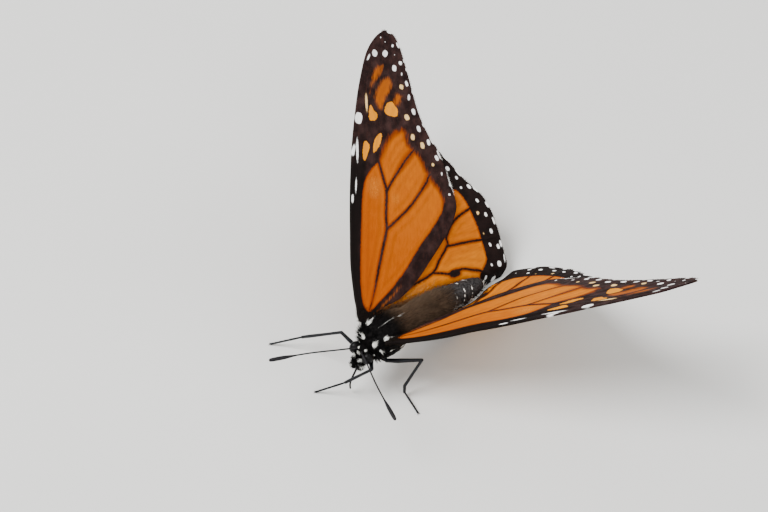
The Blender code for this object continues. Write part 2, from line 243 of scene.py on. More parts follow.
def finish_piece(name, mesh, material, *nodes):
    """Puts a mesh in the scene as a piece that stands for some of the solids."""
    piece = bpy.data.objects.new(name, mesh)
    bpy.context.scene.collection.objects.link(piece)
    mesh.materials.append(material)
    mesh.polygons.foreach_set("use_smooth", np.ones(len(mesh.polygons), bool))
    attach(piece, "root")
    if nodes:
        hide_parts(*nodes)
    mesh.calc_loop_triangles()
    print(f"{name}: {len(mesh.loop_triangles)} triangles")
    return piece


# %% [markdown]
# ## The shape of a wing
#
# A wing is a thin sheet on a bent surface. It is described flat first, along the wing and across it, and then
# raised: 37 degrees up from the level, with a drooping front edge, a lift at the leading edge and, on the left
# pair only, a shallow bow. The hindwing's inner part folds down beside the abdomen like a gutter.

# %% Wing surfaces
DIHEDRAL = radians(37)
SWEEP = radians(36)
REAR_DROP = sin(radians(1.8))
WING_BASE = (3.2, 0, 1.0)
LEADING_DROOP, COSTA_LIFT = 0.4, 0.5
BOW = {1: 0.88, -1: 0.0}
HIND_LIFT, LIFT_END = {1: 0.65, -1: 0.9}, {1: (2, 8), -1: (9, 13.5)}
REAR_SAG = {1: 0.3, -1: 0.0}
FOLD_RADIUS, FOLD_FRONT = 1.6, 0.1
FOLD_REAR = {1: -3.0, -1: -2.0}
FOLD_SHIFT = {1: (17, 29), -1: (15, 28)}
HANG = {1: 1.78, -1: 1.0}
TORNUS = {1: 0.0, -1: 0.9}
FORE_LEVEL, HIND_LEVEL = -0.02, -0.55
SIDES = {"left": 1, "right": -1}


def camber(along, back, side):
    """How far the wing surface stands off its flat plane, in millimetres."""
    out = along * cos(SWEEP) - back * sin(SWEEP)
    rear = along * sin(SWEEP) + back * cos(SWEEP)
    droop = ((back - 10) / 12) ** 2 * ease(0, 12, along) * (1 - ease(15, 36, along))
    lift = ease(-1, 4, -back) * ease(28, 44, along)
    bow = ease(2, 16, along) * (1 - 0.8 * ease(24, 46, along)) * (1 - 0.25 * ease(1, 5, -back))
    inner = ease(-1, 5, out)
    bow = bow * (inner + (1 - inner) * ease(14, 24, rear))
    sag = ease(6, 11, back) * (1 - ease(16, 20, back)) * ease(6, 14, along) * (1 - ease(26, 34, along))
    return COSTA_LIFT * lift - LEADING_DROOP * droop + BOW[side] * bow - REAR_SAG[side] * sag


def place_on_wing(x, z, rear, rise, side):
    x = x - rise * sin(DIHEDRAL)
    z = z + rise * cos(DIHEDRAL) - REAR_DROP * rear
    return np.stack([side * (WING_BASE[0] + x), WING_BASE[1] + rear, WING_BASE[2] + z], -1)


def fore_surface(along, back, height, side):
    out = along * cos(SWEEP) - back * sin(SWEEP)
    rear = along * sin(SWEEP) + back * cos(SWEEP)
    rise = camber(along, back, side) + FORE_LEVEL + height
    return place_on_wing(out * cos(DIHEDRAL), out * sin(DIHEDRAL), rear, rise, side)


def hind_surface(rear, out, height, side):
    out = out - TORNUS[side] * ease(18, 25, rear) * (1 - ease(-5.5, 0.5, out))
    fold = FOLD_FRONT + (FOLD_REAR[side] - FOLD_FRONT) * ease(*FOLD_SHIFT[side], rear)
    over = np.maximum(fold - out, 0)
    bend = np.minimum(over, FOLD_RADIUS * (pi / 2 - DIHEDRAL))
    angle = DIHEDRAL + bend / FOLD_RADIUS
    flat = np.maximum(out, fold)
    x = flat * cos(DIHEDRAL) - FOLD_RADIUS * (np.sin(angle) - sin(DIHEDRAL))
    z = flat * sin(DIHEDRAL) - FOLD_RADIUS * (cos(DIHEDRAL) - np.cos(angle)) - (over - bend) * HANG[side]
    rise = camber(out * cos(SWEEP) + rear * sin(SWEEP), rear * cos(SWEEP) - out * sin(SWEEP), side)
    rise = rise + HIND_LIFT[side] * ease(27.6, 31.5, rear) * (1 - ease(*LIFT_END[side], out)) + HIND_LEVEL
    base = place_on_wing(x, z, rear, rise, side)
    across = np.stack([-side * np.sin(angle), 0 * angle, np.cos(angle)], -1)
    return base + across * np.asarray(height)[..., None]


# %% [markdown]
# ## Wing outlines
#
# The edge of each wing is a smooth curve through a few named points. The forewing is measured along its length
# and backwards, the hindwing rearwards and outwards. Slight scallops between the vein ends break the outer
# margin, as the fringe does on a real wing.

# %% Outlines
FORE_EDGE = ((-1.3, -1.2), (1.2, -2.1), (3, -2.6), (7.5, -3.4), (12.5, -3.85), (20, -4.6), (27.5, -5.15),
             (35, -5.25), (40, -5.0), (45, -4.25), (48.4, -2.7), (50.25, -0.75), (49.85, 1.0), (47.8, 2.5),
             (44, 4.2), (40.5, 5.6), (37.2, 7.1), (34.3, 9.1), (32.2, 11.1), (28.3, 13.4), (25.5, 14.8),
             (23.2, 15.65), (20.5, 15.1), (17.1, 13.7), (12.4, 11.2), (8.3, 8.9), (4.5, 6.0), (1.7, 2.4),
             (-0.6, 0.6))
HIND_EDGE = ((1.6, -0.4), (2.6, 0.5), (4.6, 5.5), (8, 12), (12.5, 18.2), (18, 22.9), (22.8, 24.6), (26.8, 22.6),
             (29.1, 17.6), (30.7, 13.4), (31.9, 10.2), (32.5, 6.8), (32.1, 2.9), (31.5, -0.1), (30.7, -3.1),
             (28.9, -5.3), (26, -5.8), (21, -4.9), (15, -4.1), (10, -3.2), (6, -1.8), (3.2, -0.9))


def span(edge, columns):
    """Stations along a wing and, at each, the two sides of its outline."""
    ring = curve_through(edge, 24, closed=True)
    ring = np.vstack([ring, ring[:1]])
    start, end = ring[:, 0].min() + 0.02, ring[:, 0].max() - 0.02
    stations = start + (end - start) * np.sin(np.linspace(0, 1, columns) * pi / 2)
    low, high = np.full(columns, 1e9), np.full(columns, -1e9)
    for (ax, ay), (bx, by) in zip(ring[:-1], ring[1:]):
        if ax == bx:
            continue
        t = (stations - ax) / (bx - ax)
        hit = (t >= 0) & (t <= 1)
        y = ay + t * (by - ay)
        low = np.where(hit, np.minimum(low, y), low)
        high = np.where(hit, np.maximum(high, y), high)
    return stations, low, high


for edge in (FORE_EDGE, HIND_EDGE):
    stations, low, high = span(edge, 9)
    print("width along the wing:", [round(v, 1) for v in high - low])

# %% [markdown]
# ## The pattern of the forewing
#
# A monarch's forewing is an orange field framed in black. Black veins cut it into cells, pale windows stand in
# the black tip and two rows of white spots follow the outer edge. Each kind of marking becomes one distance, and
# the material later turns them into paint. Painting a picture would be simpler, but it would blur and need a file.

# %% Forewing veins
FORE_CELLS = ((0.6, 0.1), (2, -1.15), (5, -1.7), (10, -2.0), (15, -2.25), (20, -2.5), (22.5, -2.35), (24, -1.9),
              (25.7, -1.0), (26.9, -0.05), (28.5, 0.35), (30, 0.75), (31.5, 1.5), (32.7, 2.5), (33.6, 3.6),
              (33.7, 4.6), (32.2, 4.95), (31.2, 5.7), (30.6, 6.7), (29.9, 7.8), (28.5, 8.8), (27.4, 9.7),
              (26.2, 10.9), (25.2, 12.1), (24, 12.9), (22.6, 13.0), (21.5, 12.85), (20, 12.15), (17.5, 10.85),
              (15, 9.35), (12.5, 8.05), (10, 6.85), (8, 5.75), (6, 4.55), (4, 3.2), (2, 1.6))
CUBITUS = ((1, 0.2), (2, 0.5), (5, 1.05), (8, 1.45), (12, 2.0), (15.4, 2.45), (18, 2.15), (22, 1.9), (24, 1.2),
           (26, 0.3), (27, -0.1))
CU2 = ((15.6, 2.5), (18.3, 4.7), (20.5, 6.4), (23, 7.9), (25.9, 9.4), (27.5, 10.1), (29.2, 13))
CU1 = ((22, 1.9), (24, 2.7), (27, 4.2), (29, 5.3), (31.5, 6.9), (34.7, 8.7))
ANAL = ((1, 0.9), (2.5, 1.8), (5, 3.6), (8, 6.0), (14, 9.8), (20, 13.2), (24.5, 14.9))
FORE_RIBS = (((0, -0.9), (5, -1.95), (10, -2.3), (15, -2.55), (20, -2.85), (26, -3.0), (33, -3.6), (40, -4.2)),
             ((25, -1.9), (30, -1.9), (34, -3.2), (42, -3.6), (47.5, -2.9)),
             ((26, -1.3), (32.5, -0.9), (36, -2.4), (41, -2.2), (46, -1.4), (50, -0.6)),
             ((27, -0.7), (32.5, 0.4), (36, -0.2), (41, 1.6), (46, 2.9)),
             ((27, -0.2), (31, 0.7), (34.5, 2.4), (38, 3.6), (42.5, 4.7)),
             ((27, 0.1), (31.5, 1.6), (34.1, 4.2), (36.5, 5.5), (38.6, 6.3)))

# %% Forewing spots
FORE_WHITE = ((27.5, -4.9, 2.4, 0.6, 3), (27.7, -4.2, 4.9, 0.5, -7), (21.7, -3.8, 3.6, 0.36, -4),
              (19.2, -4.2, 1.8, 0.5, -3), (33.2, -4.6, 2.1, 1.4, 0), (44.3, -3.85, 1.6, 0.42, 18),
              (45.4, -2.7, 1.3, 1.15, 20), (46.1, -0.5, 1.35, 1.05, 25), (44.1, 1.55, 1.2, 0.9, 0),
              (48.0, 0.9, 0.7, 0.45, 20), (45.35, 2.65, 0.8, 0.7, 0), (42.1, 4.15, 1.1, 0.6, -20),
              (39.8, 4.8, 1.2, 0.55, 0), (37.5, 5.9, 1.2, 0.8, -20), (34.8, 7.15, 1.2, 0.8, -20),
              (33.0, 9.25, 1.2, 0.7, -15), (30.7, 11.05, 1.1, 0.75, -35), (28.2, 12.25, 0.8, 0.4, -5),
              (26.7, 14.0, 0.6, 0.4, -30), (25, 14.05, 0.5, 0.6, -30))
FORE_FAINT = ((48.6, -1.7, 0.4, 0.35, 0), (48.15, -0.7, 0.35, 0.3, 0), (43.5, 3.05, 0.8, 0.4, 0),
              (46.5, 1.4, 0.35, 0.3, 0))
FORE_CREAM = ((41.2, 3.2, 0.95, 0.85, 0), (36.15, 4.7, 1.1, 1.0, -30), (33, 6.1, 1.2, 0.85, 0),
              (32.1, 8.1, 1.2, 0.85, -15), (29.3, 10.4, 0.65, 0.6, 0), (36.3, -3.45, 3.4, 0.55, -11))
FORE_WINDOWS = (((33.4, -2.4), (34.4, -2.8), (36.2, -2.7), (35.5, -1.8), (34.9, -0.95), (33.9, -1.2)),
                ((35.5, 0.6), (36.3, 0.2), (37.5, 0.6), (38.1, 1.5), (37.7, 2.1), (36.8, 2.9), (35.8, 2.8),
                 (35.4, 2.0)),
                ((26.1, -2.7), (27.2, -3.2), (29.7, -3.1), (29.4, -2.1), (28.5, -1.95), (27, -2.3)),
                ((28, -1.1), (28.8, -1.35), (30.5, -1.2), (31.5, -0.6), (32, -0.1), (31.4, 0.2), (30.2, 0.05),
                 (29, -0.4)))
FORE_AMBER = (((38, -3), (40.5, -2.8), (42.5, -2.4), (43.5, -1.6), (43.8, -0.9), (42.5, -1.1), (41, -1.9),
               (39.5, -2.6)),
              ((35.9, -0.6), (37, -1.7), (38.5, -1.8), (40, -1.4), (41.3, -0.5), (42.1, 0.6), (41.6, 1.2),
               (40.5, 1.2), (39, 0.6), (37.5, 0)),
              ((37.5, 2.4), (38.3, 1.9), (39.6, 2.3), (39.6, 3.3), (38.8, 3.2), (37.8, 2.9)))
FORE_FRINGE = ((50.2, 0, 0.6, 1.2, 0), (48.4, 1.9, 1.1, 0.5, -35), (46, 3.4, 0.8, 0.55, -25),
               (44.6, 4.0, 0.7, 0.55, -25), (41, 5.5, 0.9, 0.55, -22), (35.8, 8.1, 0.9, 0.65, -35),
               (33.6, 9.95, 1.7, 0.8, -38), (31.5, 11.6, 1.9, 0.8, -35), (27.2, 14.05, 3.6, 0.5, -27))


RUST_WEDGE = ((0.4, 0.9), (2, 1.95), (4, 3.45), (6, 4.95), (7.6, 6.05), (6.2, 6.1), (4.6, 5.1), (2.8, 3.7), (1, 2.1))


WEDGE_VEIN = ((0.5, 0.6), (2, 1.6), (4, 3.15), (6, 4.6), (8, 5.8))


def fore_paint(x, y):
    main = veins((CUBITUS,), x, y, 0) - 0.21 * (0.3 + 0.7 * ease(2, 9, x))
    main = np.minimum(main, veins((WEDGE_VEIN,), x, y, 0.12))
    amber = np.minimum.reduce([inside(shape, x, y) for shape in FORE_AMBER])
    return {
        "cells": inside(FORE_CELLS, x, y),
        "lines": np.minimum(main, veins((CU2, CU1), x, y, 0.17)),
        "smoke": ease(25, 31, x + 0.35 * y),
        "front": np.maximum((1 - ease(-2.8, -1.4, y - 1.2 * (1 - ease(2, 12, x)))) * (1 - ease(22, 34, x)),
                            1 - ease(1.2, 3.2, x)),
        "white": np.minimum.reduce([spots(FORE_WHITE, x, y), spots(FORE_FRINGE, x, y),
                                    spots(FORE_FAINT, x, y) + 0.03]),
        "window": np.minimum.reduce([inside(shape, x, y) for shape in FORE_WINDOWS]) + 0.06,
        "cream": spots(FORE_CREAM, x, y),
        "amber": np.minimum(amber, inside(RUST_WEDGE, x, y) + 0.42),
        "worn": np.minimum(spots(((22.3, -0.4, 4.4, 2.8, 0), (21.3, 3.7, 1.9, 1.7, 0)), x, y),
                           spots(((17.5, 12, 3.6, 1.2, 38),), x, y)),
        "rib": veins((CUBITUS, CU2, CU1, ANAL) + FORE_RIBS, x, y, 0),
    }


# %% [markdown]
# ## The pattern of the hindwing
#
# The hindwing has the same colours: a black border with white spots around orange, and thin veins that fan out
# from a long cell. A male carries a small black scent patch on one vein. Near the body it is covered by silky
# brown-grey hair.

# %% Hindwing veins and spots
HIND_CELLS = ((3, 0.3), (6, -1.4), (10, -2.8), (15, -3.8), (21, -4.6), (25.2, -4.8), (25.25, -3.4), (25.3, -1.9),
              (26.3, -1.45), (27.85, -0.5), (28.3, 0.8), (28.6, 2.9), (28.9, 5), (28.95, 7), (28.95, 9),
              (28.75, 10.8), (28.2, 12.2), (27.2, 12.7), (26.4, 14.6), (25.2, 17.4), (22.8, 19.8), (20, 19.8),
              (16.5, 18.0), (12.5, 14.2), (9, 9.3), (6.5, 4.9), (4.4, 1.9))
HIND_VEINS = (((4, 0.7), (8, 0.95), (11.4, 1.1), (16.1, 1.5), (18.5, 2.9), (21.2, 4.4), (21.8, 5.4), (21.6, 7.4),
               (20.2, 9.2), (17.4, 10.2), (12.5, 8.2), (7.5, 4.6), (4.6, 1.7)),
              ((21.2, 4.4), (24, 3.9), (26.5, 3.4), (28.6, 2.9), (31, 2.3)),
              ((21.8, 5.7), (24, 7.3), (26, 8.0), (28.9, 8.45), (31.4, 9)),
              ((16.1, 1.5), (18, 0.7), (19.3, 0.15), (22, 0.0), (24, -0.8), (25.4, -1.35), (28.5, -3.0)),
              ((21.4, 7.8), (24.4, 11.6), (28.2, 14.6)), ((19.8, 9.6), (23, 15), (26.6, 19)),
              ((17.4, 10.2), (19.6, 16), (22, 21)), ((7, 5.2), (11.5, 12), (16, 17.6)),
              ((5, -0.6), (12, -1.4), (19, -2.6), (25.5, -3.8)))
HIND_WHITE = ((28.5, -3.65, 0.9, 1.15, -20), (29.75, -1.7, 0.75, 0.9, -20), (30.8, 0.7, 0.6, 0.95, 0),
              (30.75, 3.5, 0.6, 0.95, 0), (31.1, 6.4, 0.6, 0.9, 0), (30.7, 9.1, 0.5, 0.8, 0),
              (30.8, 11.8, 0.65, 0.95, 10), (29.4, 14.0, 0.6, 0.7, 10), (28.5, 16, 0.8, 0.9, 20),
              (27.7, 18.1, 0.6, 0.9, 20), (26.7, 20.4, 0.7, 0.9, 35), (25.0, 22.2, 0.8, 0.7, 50),
              (22.6, 23.2, 0.9, 0.6, 0), (20, 22.5, 0.9, 0.6, 30), (26.5, -2.7, 0.65, 0.8, -15),
              (28.4, -1.4, 0.42, 0.55, 0), (29.6, 1.55, 0.45, 0.8, 0), (29.3, 12.2, 0.5, 0.5, 0))
HIND_CREAM = ((29.9, 7.2, 0.5, 0.7, 0), (29.35, 3.7, 0.25, 0.5, 0), (27.3, 15.6, 0.5, 0.7, 10),
              (26.3, 17.7, 0.6, 0.6, 0), (24.9, 19.8, 0.5, 0.6, 0))
HIND_FRINGE = ((32.1, 4.9, 0.5, 1.5, -4), (32.2, 7.8, 0.5, 1.3, 10), (31.6, 10.9, 0.5, 1.4, 18),
               (30.2, 14.6, 0.5, 1.8, 20), (29.1, 17.8, 0.5, 1.6, 22), (31.5, 1.0, 0.5, 1.4, -12),
               (31.0, -1.3, 0.3, 1.5, -20), (27.6, 21.4, 0.5, 1.4, 35), (28.6, -4.7, 1.5, 0.4, 30))


def hind_paint(x, y):
    scent = spots(((20.35, -0.15, 2.5, 1.3, -4),), x, y)
    return {
        "cells": inside(HIND_CELLS, x, y),
        "lines": np.minimum(veins(HIND_VEINS, x, y, 0.17), scent),
        "smoke": np.full(x.shape, 0.1),
        "front": np.full(x.shape, 0.8),
        "white": np.minimum(spots(HIND_WHITE, x, y), spots(HIND_FRINGE, x, y)),
        "window": np.full(x.shape, 9.0),
        "cream": spots(HIND_CREAM, x, y),
        "amber": np.full(x.shape, 9.0),
        "worn": spots(((14, -2.2, 6, 1.2, -8),), x, y),
        "rib": veins(HIND_VEINS, x, y, 0),
    }


# %% [markdown]
# ## Paint as a material
#
# The wing material reads the distances and lays the colours over each other, from the orange ground to the white
# spots, as a painter would work from ground to highlights. A little noise frays each edge, because real markings
# are made of single scales. Fine bumps stand for the rows of scales and the shallow folds between veins, and the
# orange is a little darker along these folds, as painted shade.

# %% Shader helpers
def colour(red, green, blue):
    """A colour given as it looks on a screen, 0 to 255, as light values."""
    levels = [v / 255 for v in (red, green, blue)]
    return tuple(v / 12.92 if v <= 0.04045 else ((v + 0.055) / 1.055) ** 2.4 for v in levels) + (1,)


class Paintbox:
    """A material and short ways of adding nodes to it."""

    def __init__(self, name, roughness, specular=0.5):
        self.material = bpy.data.materials.new(name)
        self.material.use_nodes = True
        self.nodes = self.material.node_tree.nodes
        self.links = self.material.node_tree.links
        self.shader = self.nodes["Principled BSDF"]
        self.shader.inputs["Roughness"].default_value = roughness
        self.shader.inputs["Specular IOR Level"].default_value = specular
        self.place = self.nodes.new("ShaderNodeTexCoord").outputs["Object"]

    def feed(self, socket, value):
        if isinstance(value, bpy.types.NodeSocket):
            self.links.new(value, socket)
        else:
            socket.default_value = value

    def attribute(self, name):
        node = self.nodes.new("ShaderNodeAttribute")
        node.attribute_name = name
        return node.outputs["Fac"]

    def math(self, operation, first, second=0.0):
        node = self.nodes.new("ShaderNodeMath")
        node.operation = operation
        self.feed(node.inputs[0], first)
        self.feed(node.inputs[1], second)
        return node.outputs[0]

    def step(self, value, low, high, to_low=0.0, to_high=1.0):
        node = self.nodes.new("ShaderNodeMapRange")
        node.interpolation_type = "SMOOTHSTEP"
        for name, part in (("Value", value), ("From Min", low), ("From Max", high), ("To Min", to_low),
                           ("To Max", to_high)):
            self.feed(node.inputs[name], part)
        return node.outputs[0]

    def flat_place(self):
        """Places on the flat wing, in metres like the others, from what each vertex stores."""
        node = self.nodes.new("ShaderNodeCombineXYZ")
        for k, name in enumerate(("along", "back", "upper")):
            self.links.new(self.math("MULTIPLY", self.attribute(name), MM), node.inputs[k])
        self.place = node.outputs[0]

    def noise(self, grain, detail=2.0, stretch=(1, 1, 1)):
        """Noise whose lumps are about grain millimetres across."""
        node = self.nodes.new("ShaderNodeTexNoise")
        node.inputs["Scale"].default_value = 1
        node.inputs["Detail"].default_value = detail
        spread = self.nodes.new("ShaderNodeMapping")
        spread.inputs["Scale"].default_value = [1 / (grain * MM * v) for v in stretch]
        self.links.new(self.place, spread.inputs["Vector"])
        self.links.new(spread.outputs[0], node.inputs["Vector"])
        return node.outputs["Fac"]

    def mix(self, share, first, second):
        node = self.nodes.new("ShaderNodeMix")
        node.data_type = "RGBA"
        self.feed(node.inputs["Factor"], share)
        self.feed(node.inputs["A"], first)
        self.feed(node.inputs["B"], second)
        return node.outputs["Result"]

    def bump(self, height, strength, depth=0.0001):
        node = self.nodes.new("ShaderNodeBump")
        node.inputs["Strength"].default_value = strength
        node.inputs["Distance"].default_value = depth
        self.feed(node.inputs["Height"], height)
        self.links.new(node.outputs[0], self.shader.inputs["Normal"])

    def base(self, value):
        self.links.new(value, self.shader.inputs["Base Color"])


# %% Wing material
def wing_material(name, ground, tip, below):
    box = Paintbox(name, 0.7, 0.05)
    box.flat_place()
    mottle, speck = box.noise(1.6, 4), box.noise(0.14, 2)
    streak = box.noise(0.3, 3, (4, 1, 1))
    fray = box.math("MULTIPLY", box.math("SUBTRACT", box.noise(0.3, 3), 0.5), 0.36)
    smoke = box.attribute("smoke")

    def painted(name, soft=0.05, rough=1.0):
        distance = box.math("ADD", box.attribute(name), box.math("MULTIPLY", fray, rough))
        return box.step(distance, soft, -soft)

    # The reach share runs from the near to the far orange. It holds the wing's own tone and painted light: the left
    # wings, and the strip of each hindwing beside the body, are painted lighter.
    orange = box.mix(box.attribute("reach"), ground, tip)
    orange = box.mix(box.step(mottle, 0.35, 0.75, 0, 0.22), orange, colour(146, 60, 0))
    orange = box.mix(box.step(streak, 0.35, 0.75, 0, 0.25), orange, colour(138, 56, 0))
    orange = box.mix(box.step(speck, 0.56, 0.78, 0, 0.25), orange, colour(212, 128, 4))
    # Painted shade: the orange darkens a little along the fold ripple, where the shallow pleats between the veins lie.
    orange = box.mix(box.math("MULTIPLY", box.attribute("fold"), 0.16), orange, colour(122, 48, 0))
    near = box.math("MINIMUM", box.math("MULTIPLY", box.attribute("cells"), -1.0), box.attribute("lines"))
    near = box.math("DIVIDE", near, box.step(smoke, 0, 1, 0.4, 1.1))
    orange = box.mix(box.step(near, 1.0, 0.0, 0, 0.8), orange, colour(112, 36, 0))
    worn = box.math("MULTIPLY", box.step(box.attribute("worn"), 0.3, -0.8), box.step(speck, 0.45, 0.62))
    orange = box.mix(box.math("MULTIPLY", worn, 0.4), orange, colour(222, 150, 56))
    underside = box.step(box.attribute("upper"), 0.6, 0.4, 0, 0.75)
    orange = box.mix(underside, orange, below)
    black = box.mix(box.step(mottle, 0.3, 0.8), colour(26, 16, 16), colour(57, 39, 37))
    black = box.mix(box.step(speck, 0.6, 0.8, 0, 0.5), black, colour(96, 68, 58))
    black = box.mix(box.step(streak, 0.5, 0.8, 0, 0.3), black, colour(72, 35, 29))
    black = box.mix(box.math("MULTIPLY", box.attribute("front"), 0.95), black, colour(14, 10, 9))
    drift = box.math("MULTIPLY", box.math("SUBTRACT", streak, 0.5), box.step(smoke, 0, 1, 0.1, 1.7))
    cells = box.math("ADD", box.math("ADD", box.attribute("cells"), fray), drift)
    cells = box.step(box.math("DIVIDE", cells, box.step(smoke, 0, 1, 0.07, 0.55)), -1, 1)
    paint = box.mix(cells, orange, black)
    paint = box.mix(painted("lines", 0.08), paint, black)
    amber = box.math("ADD", box.attribute("amber"), box.math("MULTIPLY", box.math("SUBTRACT", streak, 0.5), 1.4))
    paint = box.mix(box.step(amber, 0.35, -0.6, 0, 0.75), paint, colour(178, 90, 10))
    paint = box.mix(painted("window"), paint, box.mix(speck, colour(208, 120, 0), colour(230, 152, 10)))
    paint = box.mix(painted("cream", 0.08, 0.6), paint, colour(240, 200, 134))
    paint = box.mix(painted("white", 0.05, 0.35), paint, colour(253, 253, 251))
    box.base(paint)
    scale = box.nodes.new("ShaderNodeTexVoronoi")
    scale.inputs["Scale"].default_value = 1 / (0.13 * MM)
    box.links.new(box.place, scale.inputs["Vector"])
    relief = box.math("ADD", box.math("MULTIPLY", scale.outputs["Distance"], 0.5), box.math("MULTIPLY", speck, 0.6))
    box.bump(box.math("ADD", relief, box.math("MULTIPLY", box.attribute("fold"), 0.8)), 0.5, 0.00008)
    return box.material


# %% [markdown]
# ## Making a wing
#
# A wing starts as a flat grid. A copy of it is turned over, and the two rims are bridged into one closed sheet.
# Numpy then bends the grid to the outline and the surface, thick at the leading edge, thin at the margin, and
# with raised veins on both faces. The closed sheet holds its shape in any view, where a single face would not.

# %% Wing builder
MEMBRANE = 0.075
VEIN_HEIGHT, VEIN_WIDTH = 0.07, 0.2
RIM_HEIGHT, RIM_WIDTH = 0.14, 0.5


def closed_grid(columns, rows):
    """Two grids back to back, joined at the rim, with a mark for the upper one."""
    bm = bmesh.new()
    bmesh.ops.create_grid(bm, x_segments=columns, y_segments=rows, size=0.5)
    mark = bm.verts.layers.float.new("upper")
    for vert in bm.verts:
        vert[mark] = 1
    copy = bmesh.ops.duplicate(bm, geom=bm.verts[:] + bm.edges[:] + bm.faces[:])["geom"]
    lower = [part for part in copy if isinstance(part, bmesh.types.BMVert)]
    for vert in lower:
        vert[mark] = 0
    bmesh.ops.translate(bm, verts=lower, vec=(0, 0, -0.01))
    bmesh.ops.reverse_faces(bm, faces=[part for part in copy if isinstance(part, bmesh.types.BMFace)])
    bmesh.ops.bridge_loops(bm, edges=[edge for edge in bm.edges if edge.is_boundary])
    mesh = bpy.data.meshes.new("wing")
    bm.to_mesh(mesh)
    bm.free()
    return mesh


def wing_unwrap(flat, low, high, upper):
    """Upper face in the top half of the unwrap and the lower face below it."""
    uv = 0.01 + 0.98 * (flat - low) / (high - low)
    uv[:, 1] = np.where(upper > 0.5, 0.51 + 0.49 * uv[:, 1], 0.49 - 0.49 * uv[:, 1])
    return uv


def unwrap_wing(mesh, s, t, flat, upper):
    """Unwraps both faces, and the rim as a thin strip between them."""
    corner = corner_vertices(mesh)
    uv = wing_unwrap(flat, flat.min(0), flat.max(0), upper)[corner].reshape(-1, 4, 2)
    around = np.select([t <= 0, s >= 1, t >= 1], [s, 1 + t, 3 - s], 4 - t)
    faces = corner.reshape(-1, 4)
    rim = (upper[faces].max(1) - upper[faces].min(1)) > 0.5
    turns = around[faces]
    turns = np.where(turns.max(1, keepdims=True) - turns > 2, turns + 4, turns)
    rim_uv = np.stack([0.01 + turns * 0.98 / 4.2, np.where(upper[faces] > 0.5, 0.505, 0.495)], -1)
    set_unwrap(mesh, np.where(rim[:, None, None], rim_uv, uv))


PAINTED = ("cells", "lines", "smoke", "front", "white", "window", "cream", "amber", "worn")
# Near and far share of the far orange on each forewing. The rise from base to tip is the wing's own tone; the left
# forewing's larger share is painted light.
TONE_AND_PAINTED_LIGHT_BY_SIDE = {1: (0.32, 0.52), -1: (0.03, 0.27)}


def kind_of(node):
    return node.split("_")[0]


def make_wing(name, edge, columns, rows, surface, side, paint, material, node):
    mesh = closed_grid(columns, rows)
    flat = get_places(mesh)
    s, t = (np.round((flat[:, k] + 0.5) * n) / n for k, n in ((0, columns), (1, rows)))
    upper = np.empty(len(mesh.vertices), np.float32)
    mesh.attributes["upper"].data.foreach_get("value", upper)
    stations, low, high = span(edge, columns + 1)
    column = np.round(s * columns).astype(int)
    wide = (high - low)[column]
    x, y = stations[column], low[column] + wide * t
    here = paint(x, y)
    if kind_of(node) == "hindwing" and side > 0:
        here["white"] = here["white"] + 0.22 * (1 - ease(-1.5, 0.5, y))
    ridge = VEIN_HEIGHT * np.exp(-(here["rib"] / VEIN_WIDTH) ** 2)
    rim = RIM_HEIGHT * (1 + 1.2 * (1 - ease(10, 26, x)) * (kind_of(node) == "forewing"))
    ridge = ridge + np.where(upper > 0.5, 0.15, 1) * rim * np.exp(-(t * wide / RIM_WIDTH) ** 2)
    height = (MEMBRANE + ridge) * (0.45 + 0.55 * ease(0, 0.5, (1 - t) * wide))
    set_places(mesh, surface(x, y, np.where(upper > 0.5, height, -height), side), BODY)
    put(mesh, "along", x)
    put(mesh, "back", y)
    for key in PAINTED:
        put(mesh, key, here[key])
    if kind_of(node) == "forewing":
        # The left forewing's larger share is painted light.
        near, far = TONE_AND_PAINTED_LIGHT_BY_SIDE[side]
        put(mesh, "reach", near + far * ease(8, 34, x + y) + 0.13 * ease(-1, 3, y))
    else:
        # On the hindwing the left side's extra share is painted light. So is the lighter strip beside the body, where
        # the gutter lies in shade.
        put(mesh, "reach", 0.44 + 0.13 * ease(10, 30, x) + 0.25 * (side > 0) + 0.45 * (1 - ease(0.5, 4, y)))
    # The fold ripple gives the pleats their bump and a little painted shade in the orange.
    put(mesh, "fold", 0.5 + 0.5 * np.sin(np.minimum(here["rib"], 2.2) * 5.2))
    unwrap_wing(mesh, s, t, np.stack([x, y], -1), upper)
    if side < 0:
        mesh.flip_normals()
    return finish_piece(name, mesh, material, node)


# %% Four wings
NEAR_ORANGE, FAR_ORANGE = colour(163, 72, 0), colour(206, 118, 0)
fore_material = wing_material("forewing_scales", NEAR_ORANGE, FAR_ORANGE, colour(206, 128, 48))
hind_material = wing_material("hindwing_scales", NEAR_ORANGE, FAR_ORANGE, colour(218, 172, 104))
WINGS = {"forewing": (FORE_EDGE, 280, 104, fore_surface, fore_paint, fore_material),
         "hindwing": (HIND_EDGE, 190, 150, hind_surface, hind_paint, hind_material)}
sheets = {}
for kind, (edge, columns, rows, surface, paint, material) in WINGS.items():
    for label, side in SIDES.items():
        sheets[kind, label] = make_wing(f"{kind}_sheet_{label}", edge, columns, rows, surface, side, paint, material,
                                        f"{kind}_{label}")

# %% [markdown]
# ## One skin from head to tail
#
# Head, thorax and abdomen are three parts of one body wall. The skin is a ball drawn out along the body: each
# ring of the ball becomes a section with its own width, top and bottom, taken from a short table of stations.
# A single surface leaves no seam where the coat parts. It lies a little inside the solids, as deep as the coat.

